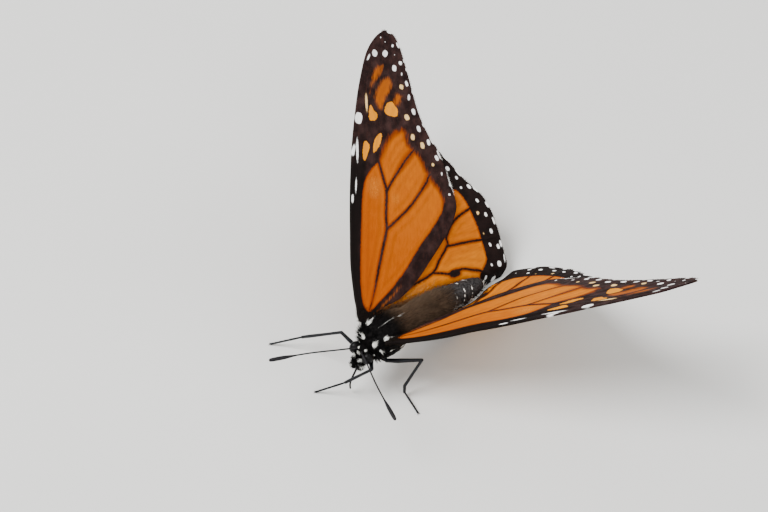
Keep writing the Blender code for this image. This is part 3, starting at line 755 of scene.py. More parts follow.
# %% Body sections
BODY_STATIONS = ((-4.14, 0.02, -2.95, -3.05), (-4.05, 0.5, -2.3, -3.7), (-3.75, 0.95, -1.75, -4.25),
                 (-3.3, 1.2, -1.42, -4.56), (-2.9, 1.25, -1.35, -4.6), (-2.6, 1.15, -1.2, -4.4),
                 (-2.4, 1.4, -0.7, -4.0), (-2.15, 1.95, -0.4, -4.1), (-1.9, 2.3, -0.1, -4.2),
                 (-1.2, 2.6, 0.55, -4.5), (-0.2, 2.77, 1.05, -4.8), (1.3, 2.85, 1.5, -5.0),
                 (3.2, 2.75, 1.65, -4.75), (5.0, 2.4, 1.25, -3.95), (6.4, 2.2, 1.05, -3.25),
                 (8.6, 2.35, 1.25, -3.3), (12, 2.4, 1.2, -3.3),
                 (15.5, 2.27, 1.05, -3.12), (18.8, 1.97, 0.85, -2.82), (21.3, 1.57, 0.45, -2.42),
                 (22.9, 1.0, -0.05, -2.0), (23.5, 0.04, -1.0, -1.2))
RING_START, SEGMENT = 7.4, 2.14
LOBES = ((2.4, -0.95, 0.3, 0.75, 0.5, -0.1, 0.4), (2.3, -1.6, -1.1, 0.9, 0.5, 0.0, 0.1))    # place, spread, push
SKIN_SIDES, SKIN_RINGS = 96, 260
stations = curve_through(BODY_STATIONS, 12)


def section(y):
    """Half width, top and bottom of the body at a distance back."""
    half, top, bottom = (np.interp(y, stations[:, 0], stations[:, k]) for k in (1, 2, 3))
    ring = np.abs(((y - RING_START) / SEGMENT) % 1 - 0.5) * 2
    groove = 0.08 * ease(0.72, 1, ring) * ease(RING_START, RING_START + 1, y)
    return np.maximum(half - groove, 0.01), top - groove, bottom + groove


def body_wall(share, angle):
    """A point of the skin: share 0 at the face to 1 at the tail, angle 0 at the left side, a quarter on top."""
    y = stations[0, 0] + (stations[-1, 0] - stations[0, 0]) * share
    half, top, bottom = section(y)
    square = 2 + 0.9 * ease(-2.5, -1.6, y) * (1 - ease(3.5, 8, y))
    across, rise = (np.sign(v) * np.abs(v) ** (2 / square) for v in (np.cos(angle), np.sin(angle)))
    middle = (top + bottom) / 2
    p = np.stack([half * across, y, middle + (top - bottom) / 2 * rise], -1)
    mirror = np.sign(p[..., :1]) * (1, 0, 0) + (0, 1, 1)
    for *place, spread, out, back, up in LOBES:
        near = np.exp(-((p * mirror - place) ** 2).sum(-1) / spread ** 2)
        p = p + near[..., None] * mirror * (out, back, up)
    return p


print("thorax is", round(float(section(1.3)[0] * 2), 1), "mm wide")

# %% [markdown]
# ## White dots and brown hair
#
# Skin and coat wear the same markings. Each white dot is a small ellipsoid in space, so that whatever grows
# inside it turns white. The brown of the back hair, the black of the front and the slate grey of the tail blend
# along the body. Towards the sides and underneath the tail the grey fades to black, which is painted shade.

# %% Body markings
DOTS = ((0.12, -4.1, -2.66, 0.26, 0.3, 0.3), (1.75, -2.24, -2.68, 0.15, 0.18, 0.2), (2.55, 0.34, 0.45, 0.3, 0.2, 0.2), (2.82, 0.4, -2.2, 0.3, 0.36, 0.18),
        (2.72, 3.1, -2.75, 0.3, 0.4, 0.18), (0.6, -3.85, -3.75, 0.3, 0.28, 0.26), (1.2, -4.0, -4.6, 0.3, 0.35, 0.3),
        (0.5, -4.6, -5.2, 0.16, 0.2, 0.2), (1.7, -0.6, -4.4, 0.35, 0.4, 0.3), (1.6, 1.8, -4.75, 0.35, 0.4, 0.3),
        (1.88, 19.15, -1.4, 0.16, 0.28, 0.4))
LONE_DOTS = ((2.53, -1.9, -1.2, 0.2, 0.22, 0.26), (2.05, -1.45, -0.2, 0.1, 0.12, 0.1),
             (1.32, -2.2, -0.75, 0.42, 0.5, 0.5), (-1.2, -2.3, -1.0, 0.46, 0.4, 0.38), (2.3, -0.8, 0.6, 0.46, 0.5, 0.4),
             (-2.05, -0.85, 0.62, 0.34, 0.56, 0.36), (0.76, -3.45, -1.88, 0.2, 0.2, 0.2),
             (-0.46, -3.8, -1.98, 0.18, 0.18, 0.2))
FLANK_LINES = (((0.8, 16.0, 0.81), (1.5, 16.0, 0.39), (2.08, 15.4, -0.18), (2.26, 15.2, -0.72), (2.3, 14.1, -0.9)),
               ((0.7, 18.15, 0.71), (1.15, 18.05, 0.49), (1.6, 17.7, 0.27), (2.1, 17.2, -0.7)),
               ((0.6, 20.0, 0.6), (1.23, 19.7, 0.3), (1.86, 19.35, -0.62)))


def near_path(path, p):
    """How far each point in space is from a path."""
    nearest = np.full(len(p), 9.0)
    for a, b in zip(np.array(path[:-1]), np.array(path[1:])):
        t = np.clip((p - a) @ (b - a) / ((b - a) @ (b - a)), 0, 1)
        nearest = np.minimum(nearest, np.linalg.norm(p - a - t[:, None] * (b - a), axis=1))
    return nearest


def white_marks(p):
    """Signed distance to the white marks for points in the body frame."""
    nearest = np.full(len(p), 9.0)
    for rows, across in ((DOTS, np.abs(p[:, 0])), (LONE_DOTS, p[:, 0])):
        for x, y, z, a, b, c in rows:
            size = np.sqrt(((across - x) / a) ** 2 + ((p[:, 1] - y) / b) ** 2 + ((p[:, 2] - z) / c) ** 2)
            nearest = np.minimum(nearest, (size - 1) * min(a, b, c))
    on_top = 9.0 * (p[:, 2] < 0)
    taper = 0.03 * ease(-0.8, 2.3, p[:, 1])
    line = np.hypot(p[:, 0] - 0.03 * (p[:, 1] - 1), np.maximum(np.abs(p[:, 1] - 0.8) - 1.5, 0)) - taper + on_top
    dash = np.hypot((p[:, 0] - 0.13) / 0.12, (p[:, 1] - 3.45) / 0.3) * 0.12 - 0.12 + on_top
    mirrored = np.abs(p) * (1, 0, 0) + p * (0, 1, 1)
    broken = 0.07 + 0.05 * np.sin(9 * p[:, 2] + 5 * p[:, 1])
    flank = np.minimum.reduce([near_path(path, mirrored) for path in FLANK_LINES]) - broken
    rim = np.maximum.reduce([22.85 - p[:, 1], p[:, 2] + 0.45, -1.7 - p[:, 2]])
    return np.minimum.reduce([nearest, line, dash, flank, rim])


def body_marks(p):
    """The markings at places on the body, by name."""
    y, z = p[:, 1], p[:, 2]
    end = ease(22.3, 22.8, y) * ease(-1.2, -0.6, z)
    # The slate grey of the tail is its own colour. Its fade to black at the sides and underneath is painted shade.
    slate = ease(12, 17, y) * (0.35 + 0.65 * ease(-1.5, -0.5, z)) * (1 - 0.6 * end)
    brown = ease(1.5, 5, y) * (1 - ease(13, 19, y)) + 0.8 * end
    return {"white": white_marks(p), "brown": brown, "slate": slate, "gold": np.zeros(len(p))}


# %% Skin material
def hide_material(name, roughness):
    box = Paintbox(name, roughness, 0.06)
    grain = box.noise(0.35, 3)
    base = box.mix(box.step(grain, 0.35, 0.7), colour(5, 4, 4), colour(16, 13, 13))
    hair = box.mix(box.step(grain, 0.3, 0.75), colour(30, 22, 16), colour(66, 50, 38))
    slate = box.mix(box.step(grain, 0.3, 0.75), colour(26, 24, 25), colour(62, 60, 60))
    base = box.mix(box.attribute("brown"), base, hair)
    base = box.mix(box.attribute("slate"), base, slate)
    box.base(box.mix(box.step(box.attribute("white"), 0.05, -0.05), base, colour(236, 236, 230)))
    box.bump(box.noise(0.12, 3, (1, 3, 1)), 0.6, 0.0001)
    return box.material


# %% Skin
def round_skin(sides, rings, name):
    """A closed ball whose poles lie along its length, with its share along and angle around at each vertex."""
    bm = bmesh.new()
    bmesh.ops.create_uvsphere(bm, u_segments=sides, v_segments=rings, radius=1)
    mesh = bpy.data.meshes.new(name)
    bm.to_mesh(mesh)
    bm.free()
    p = get_places(mesh)
    share = np.arccos(np.clip(-p[:, 2], -1, 1)) / pi
    return mesh, share, np.arctan2(p[:, 1], p[:, 0])


def round_unwrap(mesh, share, angle, tile=(0, 1)):
    """Angle across and share up, with the faces that cross the back seam kept whole."""
    corner = corner_vertices(mesh)
    starts = np.empty(len(mesh.polygons), int)
    mesh.polygons.foreach_get("loop_start", starts)
    totals = np.empty(len(mesh.polygons), int)
    mesh.polygons.foreach_get("loop_total", totals)
    face = np.repeat(np.arange(len(starts)), totals)
    around = (angle / (2 * pi))[corner] % 1
    pole = (share[corner] < 1e-6) | (share[corner] > 1 - 1e-6)
    high = np.zeros(len(starts))
    np.maximum.at(high, face, np.where(pole, 0, around))
    around = np.where((high[face] - around > 0.5) & ~pole, around + 1, around)
    summed, counted = np.zeros(len(starts)), np.zeros(len(starts))
    np.add.at(summed, face, np.where(pole, 0, around))
    np.add.at(counted, face, ~pole)
    around = np.where(pole, (summed / counted)[face], around)
    uv = np.stack([tile[0] + (tile[1] - tile[0]) * (0.01 + around * 0.95), 0.01 + 0.98 * share[corner]], -1)
    set_unwrap(mesh, uv)


skin, share, angle = round_skin(SKIN_SIDES, SKIN_RINGS, "skin")
skin_places = body_wall(share, angle)
for key, values in body_marks(skin_places).items():
    put(skin, key, values)
set_places(skin, skin_places, BODY)
round_unwrap(skin, share, angle)
bm = bmesh.new()
bm.from_mesh(skin)
bmesh.ops.recalc_face_normals(bm, faces=bm.faces)
bm.to_mesh(skin)
bm.free()
skin_piece = finish_piece("body_skin", skin, hide_material("skin_black", 0.55), "head", "thorax", "abdomen")

# %% [markdown]
# ## Hair as solid tufts
#
# Insect hair is made of separate bristles. One bristle is modelled as a three-sided spike with a bend, and a
# joined mesh repeats it thousands of times, leaning towards the tail. Strand systems would be quicker to set up,
# but they vanish from an exported mesh. Each tuft keeps the colour and the unwrap of the skin at its root.

# %% One tuft
def tuft_shape(rings=3):
    """Corners and triangles of one spike of height 1 and width 1."""
    bm = bmesh.new()
    bmesh.ops.create_cone(bm, cap_ends=True, segments=3, radius1=0.5, radius2=0.05, depth=1)
    for k in range(1, rings):
        geom = bm.verts[:] + bm.edges[:] + bm.faces[:]
        bmesh.ops.bisect_plane(bm, geom=geom, plane_co=(0, 0, k / rings - 0.5), plane_no=(0, 0, 1))
    bmesh.ops.translate(bm, verts=bm.verts, vec=(0, 0, 0.5))
    bmesh.ops.triangulate(bm, faces=bm.faces)
    bm.verts.index_update()
    places = np.array([vert.co[:] for vert in bm.verts])
    faces = np.array([[vert.index for vert in face.verts] for face in bm.faces])
    bm.free()
    return places, faces


TUFT, TUFT_FACES = tuft_shape()
print("one tuft has", len(TUFT_FACES), "triangles")


def unit(v):
    return v / np.maximum(np.linalg.norm(v, axis=-1, keepdims=True), 1e-9)


def scatter(mesh, count, weights, rng):
    """Random points on a mesh, denser where the vertex weights are high: place, normal and unwrap of each."""
    mesh.calc_loop_triangles()
    n = len(mesh.loop_triangles)
    loops, verts = np.empty(n * 3, int), np.empty(n * 3, int)
    mesh.loop_triangles.foreach_get("loops", loops)
    mesh.loop_triangles.foreach_get("vertices", verts)
    uv = np.empty(len(mesh.loops) * 2)
    mesh.uv_layers["OFBake"].data.foreach_get("uv", uv)
    uv = uv.reshape(-1, 2)[loops.reshape(n, 3)]
    inverse = np.array(BODY.inverted())
    p = get_places(mesh) @ inverse[:3, :3].T + inverse[:3, 3]
    p = p[verts.reshape(n, 3)]
    cross = np.cross(p[:, 1] - p[:, 0], p[:, 2] - p[:, 0])
    area = np.linalg.norm(cross, axis=1) * weights[verts.reshape(n, 3)].mean(1)
    pick = rng.choice(n, count, p=area / area.sum())
    a, b = rng.random((2, count))
    flip = a + b > 1
    a, b = np.where(flip, 1 - a, a), np.where(flip, 1 - b, b)
    share = np.stack([1 - a - b, a, b], -1)[..., None]
    return (p[pick] * share).sum(1), unit(cross[pick]), (uv[pick] * share).sum(1)


def grow(name, roots, normals, uv, lie, length, width, lean, curl, material, rng, marks):
    """Joins one tuft for each root. lean 0 stands straight out and 1 lies flat along the lie."""
    count = len(roots)
    wobble = rng.normal(0, 0.16, (count, 3))
    flat = unit(lie - normals * (lie * normals).sum(1, keepdims=True))
    lean = np.clip(lean + rng.normal(0, 0.07, count), 0, 0.97)[:, None]
    rise = unit(normals * (1 - lean) + flat * lean + wobble * 0.5)
    rise = rise + normals * np.maximum(0.14 - (rise * normals).sum(1, keepdims=True), 0)
    across = unit(np.cross(rise, normals) + 1e-6)
    thick = np.cross(across, rise)
    length = (length * rng.uniform(0.7, 1.25, count))[:, None, None]
    width = (np.asarray(width) * rng.uniform(0.75, 1.25, count))[:, None, None]
    t = TUFT[None, :, 2:3]
    body = roots[:, None] - normals[:, None] * 0.06 + rise[:, None] * length * t
    body = body + flat[:, None] * length * curl * t ** 2 - normals[:, None] * length * curl * 0.5 * t ** 2
    body = body + (across[:, None] * TUFT[None, :, 0:1] + thick[:, None] * TUFT[None, :, 1:2]) * width
    faces = (TUFT_FACES[None] + (np.arange(count) * len(TUFT))[:, None, None]).reshape(-1, 3)
    mesh = bpy.data.meshes.new(name)
    mesh.from_pydata(body.reshape(-1, 3).tolist(), [], faces.tolist())
    for key, values in marks.items():
        put(mesh, key, np.repeat(values, len(TUFT)))
    put(mesh, "height", np.tile(TUFT[:, 2], count))
    put(mesh, "shade", np.repeat(rng.random(count), len(TUFT)))
    set_places(mesh, body.reshape(-1, 3), BODY)
    patch = uv[:, None] + (TUFT[None, :, 1:3] * (1, 1) - (0, 0.5)) * 0.0028
    set_unwrap(mesh, patch.reshape(-1, 2)[corner_vertices(mesh)])
    return finish_piece(name, mesh, material)


print("tufts are ready")

# %% Coat material
def coat_material():
    box = Paintbox("coat_hair", 0.8, 0.05)
    shade = box.attribute("shade")
    black = box.mix(shade, colour(2, 2, 2), colour(10, 9, 9))
    brown = box.mix(shade, colour(40, 30, 23), colour(104, 82, 65))
    slate = box.mix(shade, colour(20, 18, 18), colour(74, 68, 66))
    gold = box.mix(shade, colour(166, 96, 30), colour(220, 148, 70))
    base = box.mix(box.attribute("brown"), black, brown)
    base = box.mix(box.attribute("slate"), base, slate)
    tip = box.math("MULTIPLY", box.step(box.attribute("height"), 0.2, 1.0, 0, 0.35), box.attribute("brown"))
    base = box.mix(tip, base, colour(126, 108, 88))
    base = box.mix(box.attribute("gold"), base, gold)
    base = box.mix(box.step(box.attribute("white"), 0.06, -0.06), base, colour(246, 246, 240))
    box.base(base)
    box.bump(box.noise(0.05, 2), 0.3, 0.00003)
    return box.material


coat = coat_material()
dice = np.random.default_rng(11)
TAILWARD = np.array([0.0, 1.0, -0.1])

# %% Coat of the body
y, z, side_of = skin_places[:, 1], skin_places[:, 2], np.abs(skin_places[:, 0])
on_top = ease(-2, 0.5, z)
thorax_hair = ease(-2.6, -2.0, y) * (1 - ease(7.5, 9.5, y)) * (1 + 1.2 * on_top)
back_hair = ease(3, 6, y) * (1 - ease(13, 16, y)) * ease(-2.4, -0.5, z)
abdomen_hair = ease(7, 9, y) * (1.3 - ease(12, 18, y))
eye_free = np.linalg.norm((np.abs(skin_places) * (1, -1, -1) * np.sign((1, -1, -1)) * (1, 1, 1)
                           - np.abs(EYE_CENTRE)) / EYE_SIZE, axis=1)
head_hair = (1 - ease(-2.5, -1.9, y)) * (eye_free > 1.05)

roots, normals, uv = scatter(skin, 8200, thorax_hair, dice)
ruff = (1 - ease(-1.6, -0.4, roots[:, 1])) * (1 - ease(-0.6, 0.6, roots[:, 2]))
shoulder = np.exp(-((roots - (-2.6, -1.6, -0.1)) ** 2).sum(1) / 0.6)
ruff = np.maximum(ruff, shoulder)
long = 0.42 + 0.6 * ease(1, 6, roots[:, 1]) * ease(-1.5, 0.5, roots[:, 2]) + 0.4 * ruff + 0.5 * shoulder
grow("coat_thorax", roots, normals, uv, TAILWARD, long, 0.085, 0.72 - 0.4 * ruff, 0.25, coat, dice, body_marks(roots))
roots, normals, uv = scatter(skin, 5200, back_hair, dice)
outward = np.stack([0.3 * np.sign(roots[:, 0]) * ease(0.3, 2, np.abs(roots[:, 0])), 1 + 0 * roots[:, 1],
                    -0.1 + 0 * roots[:, 2]], -1)
grow("coat_back", roots, normals, uv, outward, 1.5, 0.07, 0.84, 0.12, coat, dice, body_marks(roots))
roots, normals, uv = scatter(skin, 6500, abdomen_hair, dice)
# Low on the sides and underneath the abdomen the hair grows longer and stands out. It is black there, partly its own
# colour and partly painted shade that fills the dark gap beside the hindwing.
below = (1 - ease(-1.3, -0.5, roots[:, 2])) * ease(12, 15, roots[:, 1])
long = 0.25 + 0.7 * (1 - ease(9, 17, roots[:, 1])) + 0.35 * ease(21, 22.5, roots[:, 1]) + 0.45 * below
grow("coat_abdomen", roots, normals, uv, TAILWARD, long, 0.075, 0.85 - 0.35 * below, 0.1, coat, dice,
     body_marks(roots))
roots, normals, uv = scatter(skin, 3800, head_hair, dice)
long = 0.24 + 0.4 * (1 - ease(-3.7, -3.0, roots[:, 2]))
grow("coat_head", roots, normals, uv, np.array([0.0, 0.4, 0.6]), long, 0.06, 0.4, 0.2, coat, dice, body_marks(roots))

# %% [markdown]
# ## Silky hair on the wings
#
# The inner part of a hindwing and the root of a forewing carry long silky hair that hides the join with the body.
# The same tufts grow on the wing sheets. They turn from brown beside the body to gold further out, and thin out
# there, so the hair fades into the orange as it does on the insect.

# %% Coat of the wings
def vertex_values(mesh, name):
    values = np.empty(len(mesh.vertices), np.float32)
    mesh.attributes[name].data.foreach_get("value", values)
    return values


def lie_of(side):
    return np.array([0.25 * side, 1.0, 0.05])


INNER_HAIR = {1: 0.2, -1: 1.7}
for label, side in SIDES.items():
    sheet = sheets["hindwing", label].data
    rear, out, top = (vertex_values(sheet, name) for name in ("along", "back", "upper"))
    silky = ease(1.5, 4, rear) * (1 - ease(9, 17, rear)) * (1 - ease(-1.7, 1.3, out)) * (top > 0.5)
    roots, normals, uv = scatter(sheet, 3400, silky, dice)
    golden = ease(3.0, 4.4, np.abs(roots[:, 0]) + 0.12 * (roots[:, 1] - 4)) * 0.9
    marks = {"white": np.full(len(roots), 9.0), "brown": np.ones(len(roots)), "slate": np.zeros(len(roots)),
             "gold": golden}
    long = 1.0 + 0.9 * (1 - golden)
    grow(f"coat_hindwing_{label}", roots, normals, uv, lie_of(side), long, 0.06, 0.86, 0.05, coat, dice, marks)
    fold = FOLD_FRONT + (FOLD_REAR[side] - FOLD_FRONT) * ease(*FOLD_SHIFT[side], rear)
    edge = np.exp(-((out - fold + INNER_HAIR[side]) / 0.5) ** 2) * ease(8, 12, rear) * (1 - ease(22, 26, rear)) * (top > 0.5)
    roots, normals, uv = scatter(sheet, 1500, edge, dice)
    none = np.zeros(len(roots))
    marks = {"white": none + 9, "brown": none + 0.35, "slate": none, "gold": none}
    grow(f"coat_inner_{label}", roots, normals, uv, np.array([-0.7 * side, 0.6, -0.35]), 0.85, 0.055, 0.82, 0.1, coat,
         dice, marks)
    sheet = sheets["forewing", label].data
    along = vertex_values(sheet, "along")
    roots, normals, uv = scatter(sheet, 450, (1 - ease(0.1, 1.3, along)), dice)
    marks = {"white": np.full(len(roots), 9.0), "brown": 0.15 * dice.random(len(roots)), "slate": np.zeros(len(roots)),
             "gold": np.zeros(len(roots))}
    grow(f"coat_wing_root_{label}", roots, normals, uv, lie_of(side * 3), 0.5, 0.07, 0.6, 0.2, coat, dice, marks)

# %% [markdown]
# ## The fringe
#
# A wing's outer edge ends in a fringe of long narrow scales, black with white dashes between the veins. Each
# scale is a flattened tuft at the rim that points outwards. Painted on the rim the fringe would have no depth,
# and the outline would look cut with scissors.

# %% Fringe of the wings
FRINGED = {"forewing": lambda x, y: (x > 24) & (y > -1.5), "hindwing": lambda x, y: (x > 12) & ((y > 6) | (x > 26))}
for (kind, label), piece in sheets.items():
    edge, _, _, surface, paint, _ = WINGS[kind]
    side = SIDES[label]
    ring = curve_through(edge, 40, closed=True)
    ahead = np.roll(ring, -1, 0) - ring
    outward = unit(np.stack([ahead[:, 1], -ahead[:, 0]], -1))
    middle = ring.mean(0)
    outward = outward * np.sign(((ring - middle) * outward).sum(1).mean())
    keep = FRINGED[kind](ring[:, 0], ring[:, 1])
    ring, outward = ring[keep], outward[keep]
    ring = ring + dice.normal(0, 0.03, ring.shape)
    level = dice.uniform(-0.04, 0.04, len(ring))
    roots = surface(ring[:, 0] - 0.12 * outward[:, 0], ring[:, 1] - 0.12 * outward[:, 1], level, side)
    tips = surface(ring[:, 0] + outward[:, 0], ring[:, 1] + outward[:, 1], level, side)
    above = surface(ring[:, 0], ring[:, 1], level + 1, side)
    pointing = unit(tips - roots)
    normals = unit(above - roots)
    flat = np.stack([vertex_values(piece.data, "along"), vertex_values(piece.data, "back")], -1)
    uv = wing_unwrap(ring, flat.min(0), flat.max(0), np.ones(len(ring)))
    white = paint(ring[:, 0], ring[:, 1])["white"] - 0.1
    marks = {"white": white, "brown": np.full(len(ring), 0.35), "slate": np.zeros(len(ring)),
             "gold": np.zeros(len(ring))}
    grow(f"fringe_{kind}_{label}", roots, normals, np.clip(uv, 0.005, 0.995), pointing, 0.42, 0.1, 0.96, 0.02, coat,
         dice, marks)

# %% [markdown]
# ## Eyes
#
# A compound eye is a dark glossy dome of small facets. An icosphere squeezed to the eye's size gives an even
# surface, and a cell pattern in the bump gives the facets, which are too fine to model one by one.

# %% Eyes
def eye_material():
    box = Paintbox("eye_dome", 0.3, 0.12)
    cells = box.nodes.new("ShaderNodeTexVoronoi")
    cells.inputs["Scale"].default_value = 1 / (0.07 * MM)
    box.links.new(box.place, cells.inputs["Vector"])
    box.base(box.mix(box.step(box.noise(0.7, 2), 0.4, 0.65), colour(3, 3, 4), colour(11, 9, 10)))
    box.bump(cells.outputs["Distance"], 0.35, 0.00003)
    return box.material


eye_dark = eye_material()
for label, side in SIDES.items():
    bm = bmesh.new()
    bmesh.ops.create_icosphere(bm, subdivisions=5, radius=1)
    eye = bpy.data.meshes.new(f"eye_{label}")
    bm.to_mesh(eye)
    bm.free()
    ball = get_places(eye)
    set_places(eye, ball * EYE_SIZE + np.array([side * EYE_CENTRE.x, EYE_CENTRE.y, EYE_CENTRE.z]), BODY)
    finish_piece(f"eye_dome_{label}", eye, eye_dark, f"eye_{label}")

# %% [markdown]
# ## Limbs from swept rings
#
# Legs, feelers, palps and tongue are chains of round links. Each link is a ball drawn out along its own stretch
# of a path, with its own radii, so that neighbouring links meet in a visible joint. A leg is then a thigh, a
# shin, five short foot links and two claws, as a jointed insect leg is.

# %% Link builder
def link(path, radii, frame, sides=16, rings=28):
    """One drawn-out link along a path of points, with a radius at each point and rounded ends."""
    mesh, share, angle = round_skin(sides, rings, "link")
    path, radii = np.array(path, float), np.array(radii, float)
    steps = np.concatenate([[0], np.cumsum(np.linalg.norm(np.diff(path, axis=0), axis=1))])
    total = steps[-1]
    here = total * (0.5 * share + 0.25 * (1 - np.cos(share * pi)))
    centre, ahead, behind = (np.stack([np.interp(here + shift, steps, path[:, k]) for k in range(3)], -1)
                             for shift in (0, 0.05, -0.05))
    along = unit(ahead - behind)
    reach = np.ptp(path, axis=0)
    guide = np.array([0.31, 0.2, 0.93]) if reach[2] < 0.9 * reach.max() else np.array([1.0, 0.1, 0.0])
    across = unit(np.cross(along, guide))
    third = np.cross(across, along)
    wide = np.interp(here, steps, radii)
    to_end = np.clip(np.minimum(here, total - here) / (wide * 0.8), 0, 1)
    thick = (wide * np.sqrt(1 - (1 - to_end) ** 2))[:, None]
    ring = (across * np.cos(angle)[:, None] + third * np.sin(angle)[:, None]) * thick
    set_places(mesh, centre + ring, frame)
    return mesh, share, angle


def join_links(name, links, material, *nodes):
    """One piece from several links, side by side in its unwrap."""
    bm = bmesh.new()
    for k, (mesh, share, angle) in enumerate(links):
        round_unwrap(mesh, share, angle, (k / len(links), (k + 1) / len(links)))
        bm.from_mesh(mesh)
        bpy.data.meshes.remove(mesh)
    bmesh.ops.recalc_face_normals(bm, faces=bm.faces)
    mesh = bpy.data.meshes.new(name)
    bm.to_mesh(mesh)
    bm.free()
    return finish_piece(name, mesh, material, *nodes)


# %% Horn material
def horn_material(name, dark, light, roughness):
    box = Paintbox(name, roughness, 0.2)
    grain = box.noise(0.25, 3)
    box.base(box.mix(box.step(grain, 0.4, 0.68), dark, light))
    box.bump(box.noise(0.08, 2), 0.5, 0.00004)
    return box.material


leg_black = horn_material("leg_black", colour(7, 7, 9), colour(24, 26, 33), 0.45)
feeler_black = horn_material("feeler_black", colour(9, 8, 10), colour(30, 27, 33), 0.5)

# %% Legs
HIPS_TO_TOES = {
    "midleg_right": ((-0.7, -1.4, 6.9), (-0.65, -2.5, 5.7), (-5.2, -3.6, 8.4), (-11.9, -6.2, 3.0), (-15.9, -9.5, 0.18)),
    "midleg_left": ((0.7, -1.4, 6.9), (0.65, -2.5, 5.7), (3.4, -4.7, 7.9), (-0.1, -7.3, 3.3), (-3.6, -10.5, 0.18)),
    "hindleg_left": ((1.4, -0.2, 6.4), (2.0, -0.6, 5.2), (7.6, 2.3, 8.4), (6.4, -0.2, 0.9), (10.4, -1.0, 0.18)),
    "hindleg_right": ((-1.4, -0.1, 6.4), (-2.1, 0.3, 5.05), (-6.4, 5.3, 8.1), (-6.6, 6.0, 0.9), (-8.5, 8.8, 0.18)),
}


def part_way(a, b, share):
    return tuple(p + (q - p) * share for p, q in zip(a, b))


SHIN_BOW = {"hindleg_left": Vector((-0.38, -0.42, 0))}


def leg_links(hip, trochanter, knee, ankle, toe, bow):
    parts = [link((hip, trochanter), (0.4, 0.38), FLOOR),
             link((part_way(trochanter, hip, 0.1), part_way(trochanter, knee, 0.35), part_way(trochanter, knee, 1.02)),
                  (0.34, 0.38, 0.27), FLOOR, rings=44),
             link((part_way(knee, ankle, -0.03), Vector(part_way(knee, ankle, 0.35)) + bow * 0.5,
                   Vector(part_way(knee, ankle, 0.8)) + bow,
                   part_way(knee, ankle, 1.02)), (0.26, 0.24, 0.28, 0.24), FLOOR, rings=44)]
    shares = (-0.03, 0.4, 0.58, 0.73, 0.86, 1)
    for a, b in zip(shares[:-1], shares[1:]):
        parts.append(link((part_way(ankle, toe, a), part_way(ankle, toe, b + 0.02)), (0.15, 0.19), FLOOR, 12, 14))
    outward = (Vector(toe) - Vector(ankle)).normalized()
    side = outward.cross(Vector((0, 0, 1))).normalized()
    for turn_to in (-1, 1):
        bend = Vector(toe) + outward * 0.25 + side * 0.14 * turn_to
        tip = Vector(toe) + outward * 0.42 + side * 0.2 * turn_to
        tip.z, bend.z = 0.04, 0.2
        parts.append(link((toe, bend, tip), (0.07, 0.06, 0.02), FLOOR, 8, 12))
    return parts


for name, points in HIPS_TO_TOES.items():
    join_links(name.replace("leg", "leg_links"), leg_links(*points, SHIN_BOW.get(name, Vector())), leg_black, name)

# %% Forelegs, palps, tongue and feelers
palp_black = horn_material("palp_black", colour(8, 7, 7), colour(26, 23, 23), 0.6)
FORELEG = ((0.35, -1.7, -3.4), (0.38, -2.45, -5.1), (0.38, -2.25, -6.1))
PALPS = {"left": ((0.55, -3.45, -3.7), (0.9, -4.0, -4.6), (1.05, -4.1, -5.3)),
         "right": ((-0.5, -3.45, -3.7), (-0.5, -4.1, -4.8), (-0.2, -4.2, -5.8))}
TONGUE = ((0, -4.1, 7.0), (0, -4.6, 6.0), (0, -5.05, 4.85), (0, -5.8, 3.6), (0, -6.3, 2.3), (0, -6.25, 0.9))
FEELERS = {
    "left": ((0.5, -3.8, -2.1), (0.9, -4.4, -1.85), (1.85, -4.72, -1.87), (3.9, -5.6, -1.88), (7.95, -7.4, -1.9), (14.7, -9.7, -2.2)),
    "right": ((-0.5, -3.7, -2.2), (-0.8, -4.3, -2.1), (-2.0, -7.0, -2.05), (-4.2, -11.8, -2.1), (-6.7, -17.5, -2.6)),
}
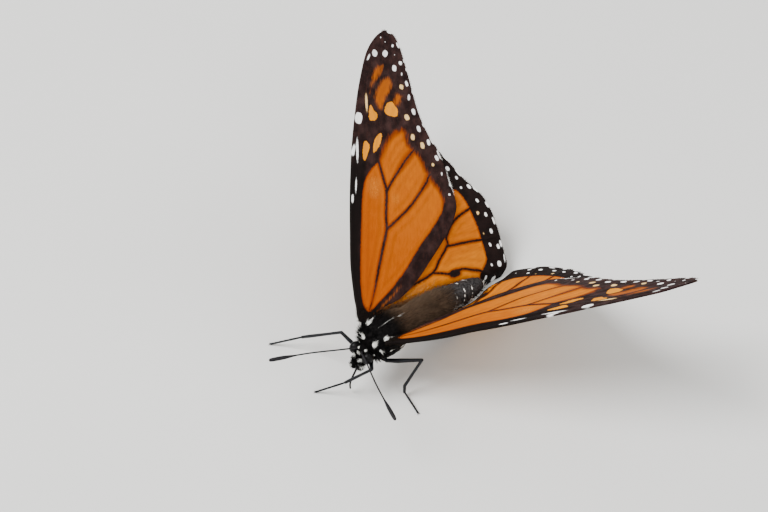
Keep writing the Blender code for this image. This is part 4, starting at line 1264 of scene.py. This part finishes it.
for label, side in SIDES.items():
    flip = lambda points: [(side * x, y, z) for x, y, z in points]
    thigh, knee, foot = flip(FORELEG)
    join_links(f"foreleg_links_{label}", [link((thigh, knee), (0.26, 0.24), BODY), link((knee, foot), (0.2, 0.16), BODY)],
               leg_black, f"foreleg_{label}")
    palp = curve_through(PALPS[label], 5)
    links = [link(palp[:6], np.linspace(0.44, 0.56, 6), BODY), link(palp[5:], np.linspace(0.54, 0.4, 6), BODY)]
    joined = join_links(f"palp_links_{label}", links, palp_black, f"palp_{label}")
    roots, normals, uv = scatter(joined.data, 1300, np.ones(len(joined.data.vertices)), dice)
    grow(f"coat_palp_{label}", roots, normals, uv, np.array([0.0, -0.3, -1.0]), 0.45, 0.065, 0.45, 0.2, coat, dice,
         body_marks(roots))
    feeler = curve_through(FEELERS[label], 12)
    grid = np.append(0, np.cumsum(np.linalg.norm(np.diff(feeler, axis=0), axis=1)))
    grid = grid / grid[-1]
    radii = 0.125 + 0.2 * ease(0.68, 0.86, grid) - 0.1 * ease(0.96, 1, grid)
    join_links(f"feeler_{label}", [link(feeler, radii, BODY, rings=90)], feeler_black, f"antenna_{label}")
tongue = curve_through(TONGUE, 8)
join_links("tongue", [link(tongue, np.linspace(0.2, 0.15, len(tongue)), FLOOR, rings=60)], feeler_black, "proboscis")

# %% [markdown]
# ## Floor and light
#
# A museum specimen is lit softly from above, so that the wings show their colour and the legs throw only faint
# shadows. One large panel stands behind and above the camera, a second fills from the other side, and the world
# adds an even grey.

# %% Stage
bm = bmesh.new()
bmesh.ops.create_grid(bm, x_segments=1, y_segments=1, size=3)
ground = bpy.data.meshes.new("floor")
bm.to_mesh(ground)
bm.free()
floor = bpy.data.objects.new("floor", ground)
bpy.context.scene.collection.objects.link(floor)
pale = Paintbox("pale_floor", 0.8, 0.2)
pale.base(pale.mix(pale.noise(60, 3), colour(214, 214, 212), colour(222, 222, 220)))
ground.materials.append(pale.material)

world = bpy.data.worlds.new("studio")
world.use_nodes = True
world.node_tree.nodes["Background"].inputs["Color"].default_value = (1, 0.98, 0.95, 1)
world.node_tree.nodes["Background"].inputs["Strength"].default_value = 0.68
bpy.context.scene.world = world


def panel(name, place, size, power):
    light = bpy.data.lights.new(name, "AREA")
    light.shape, light.size, light.energy = "DISK", size, power
    lamp = bpy.data.objects.new(name, light)
    bpy.context.scene.collection.objects.link(lamp)
    lamp.location = place
    lamp.rotation_euler = (-Vector(place)).to_track_quat("-Z", "Y").to_euler()


panel("key", (-0.26, -0.38, 0.72), 0.5, 12)
panel("fill", (0.6, -0.1, 0.5), 0.6, 2.5)
panel("rim", (0.3, 0.6, 0.5), 0.4, 2)
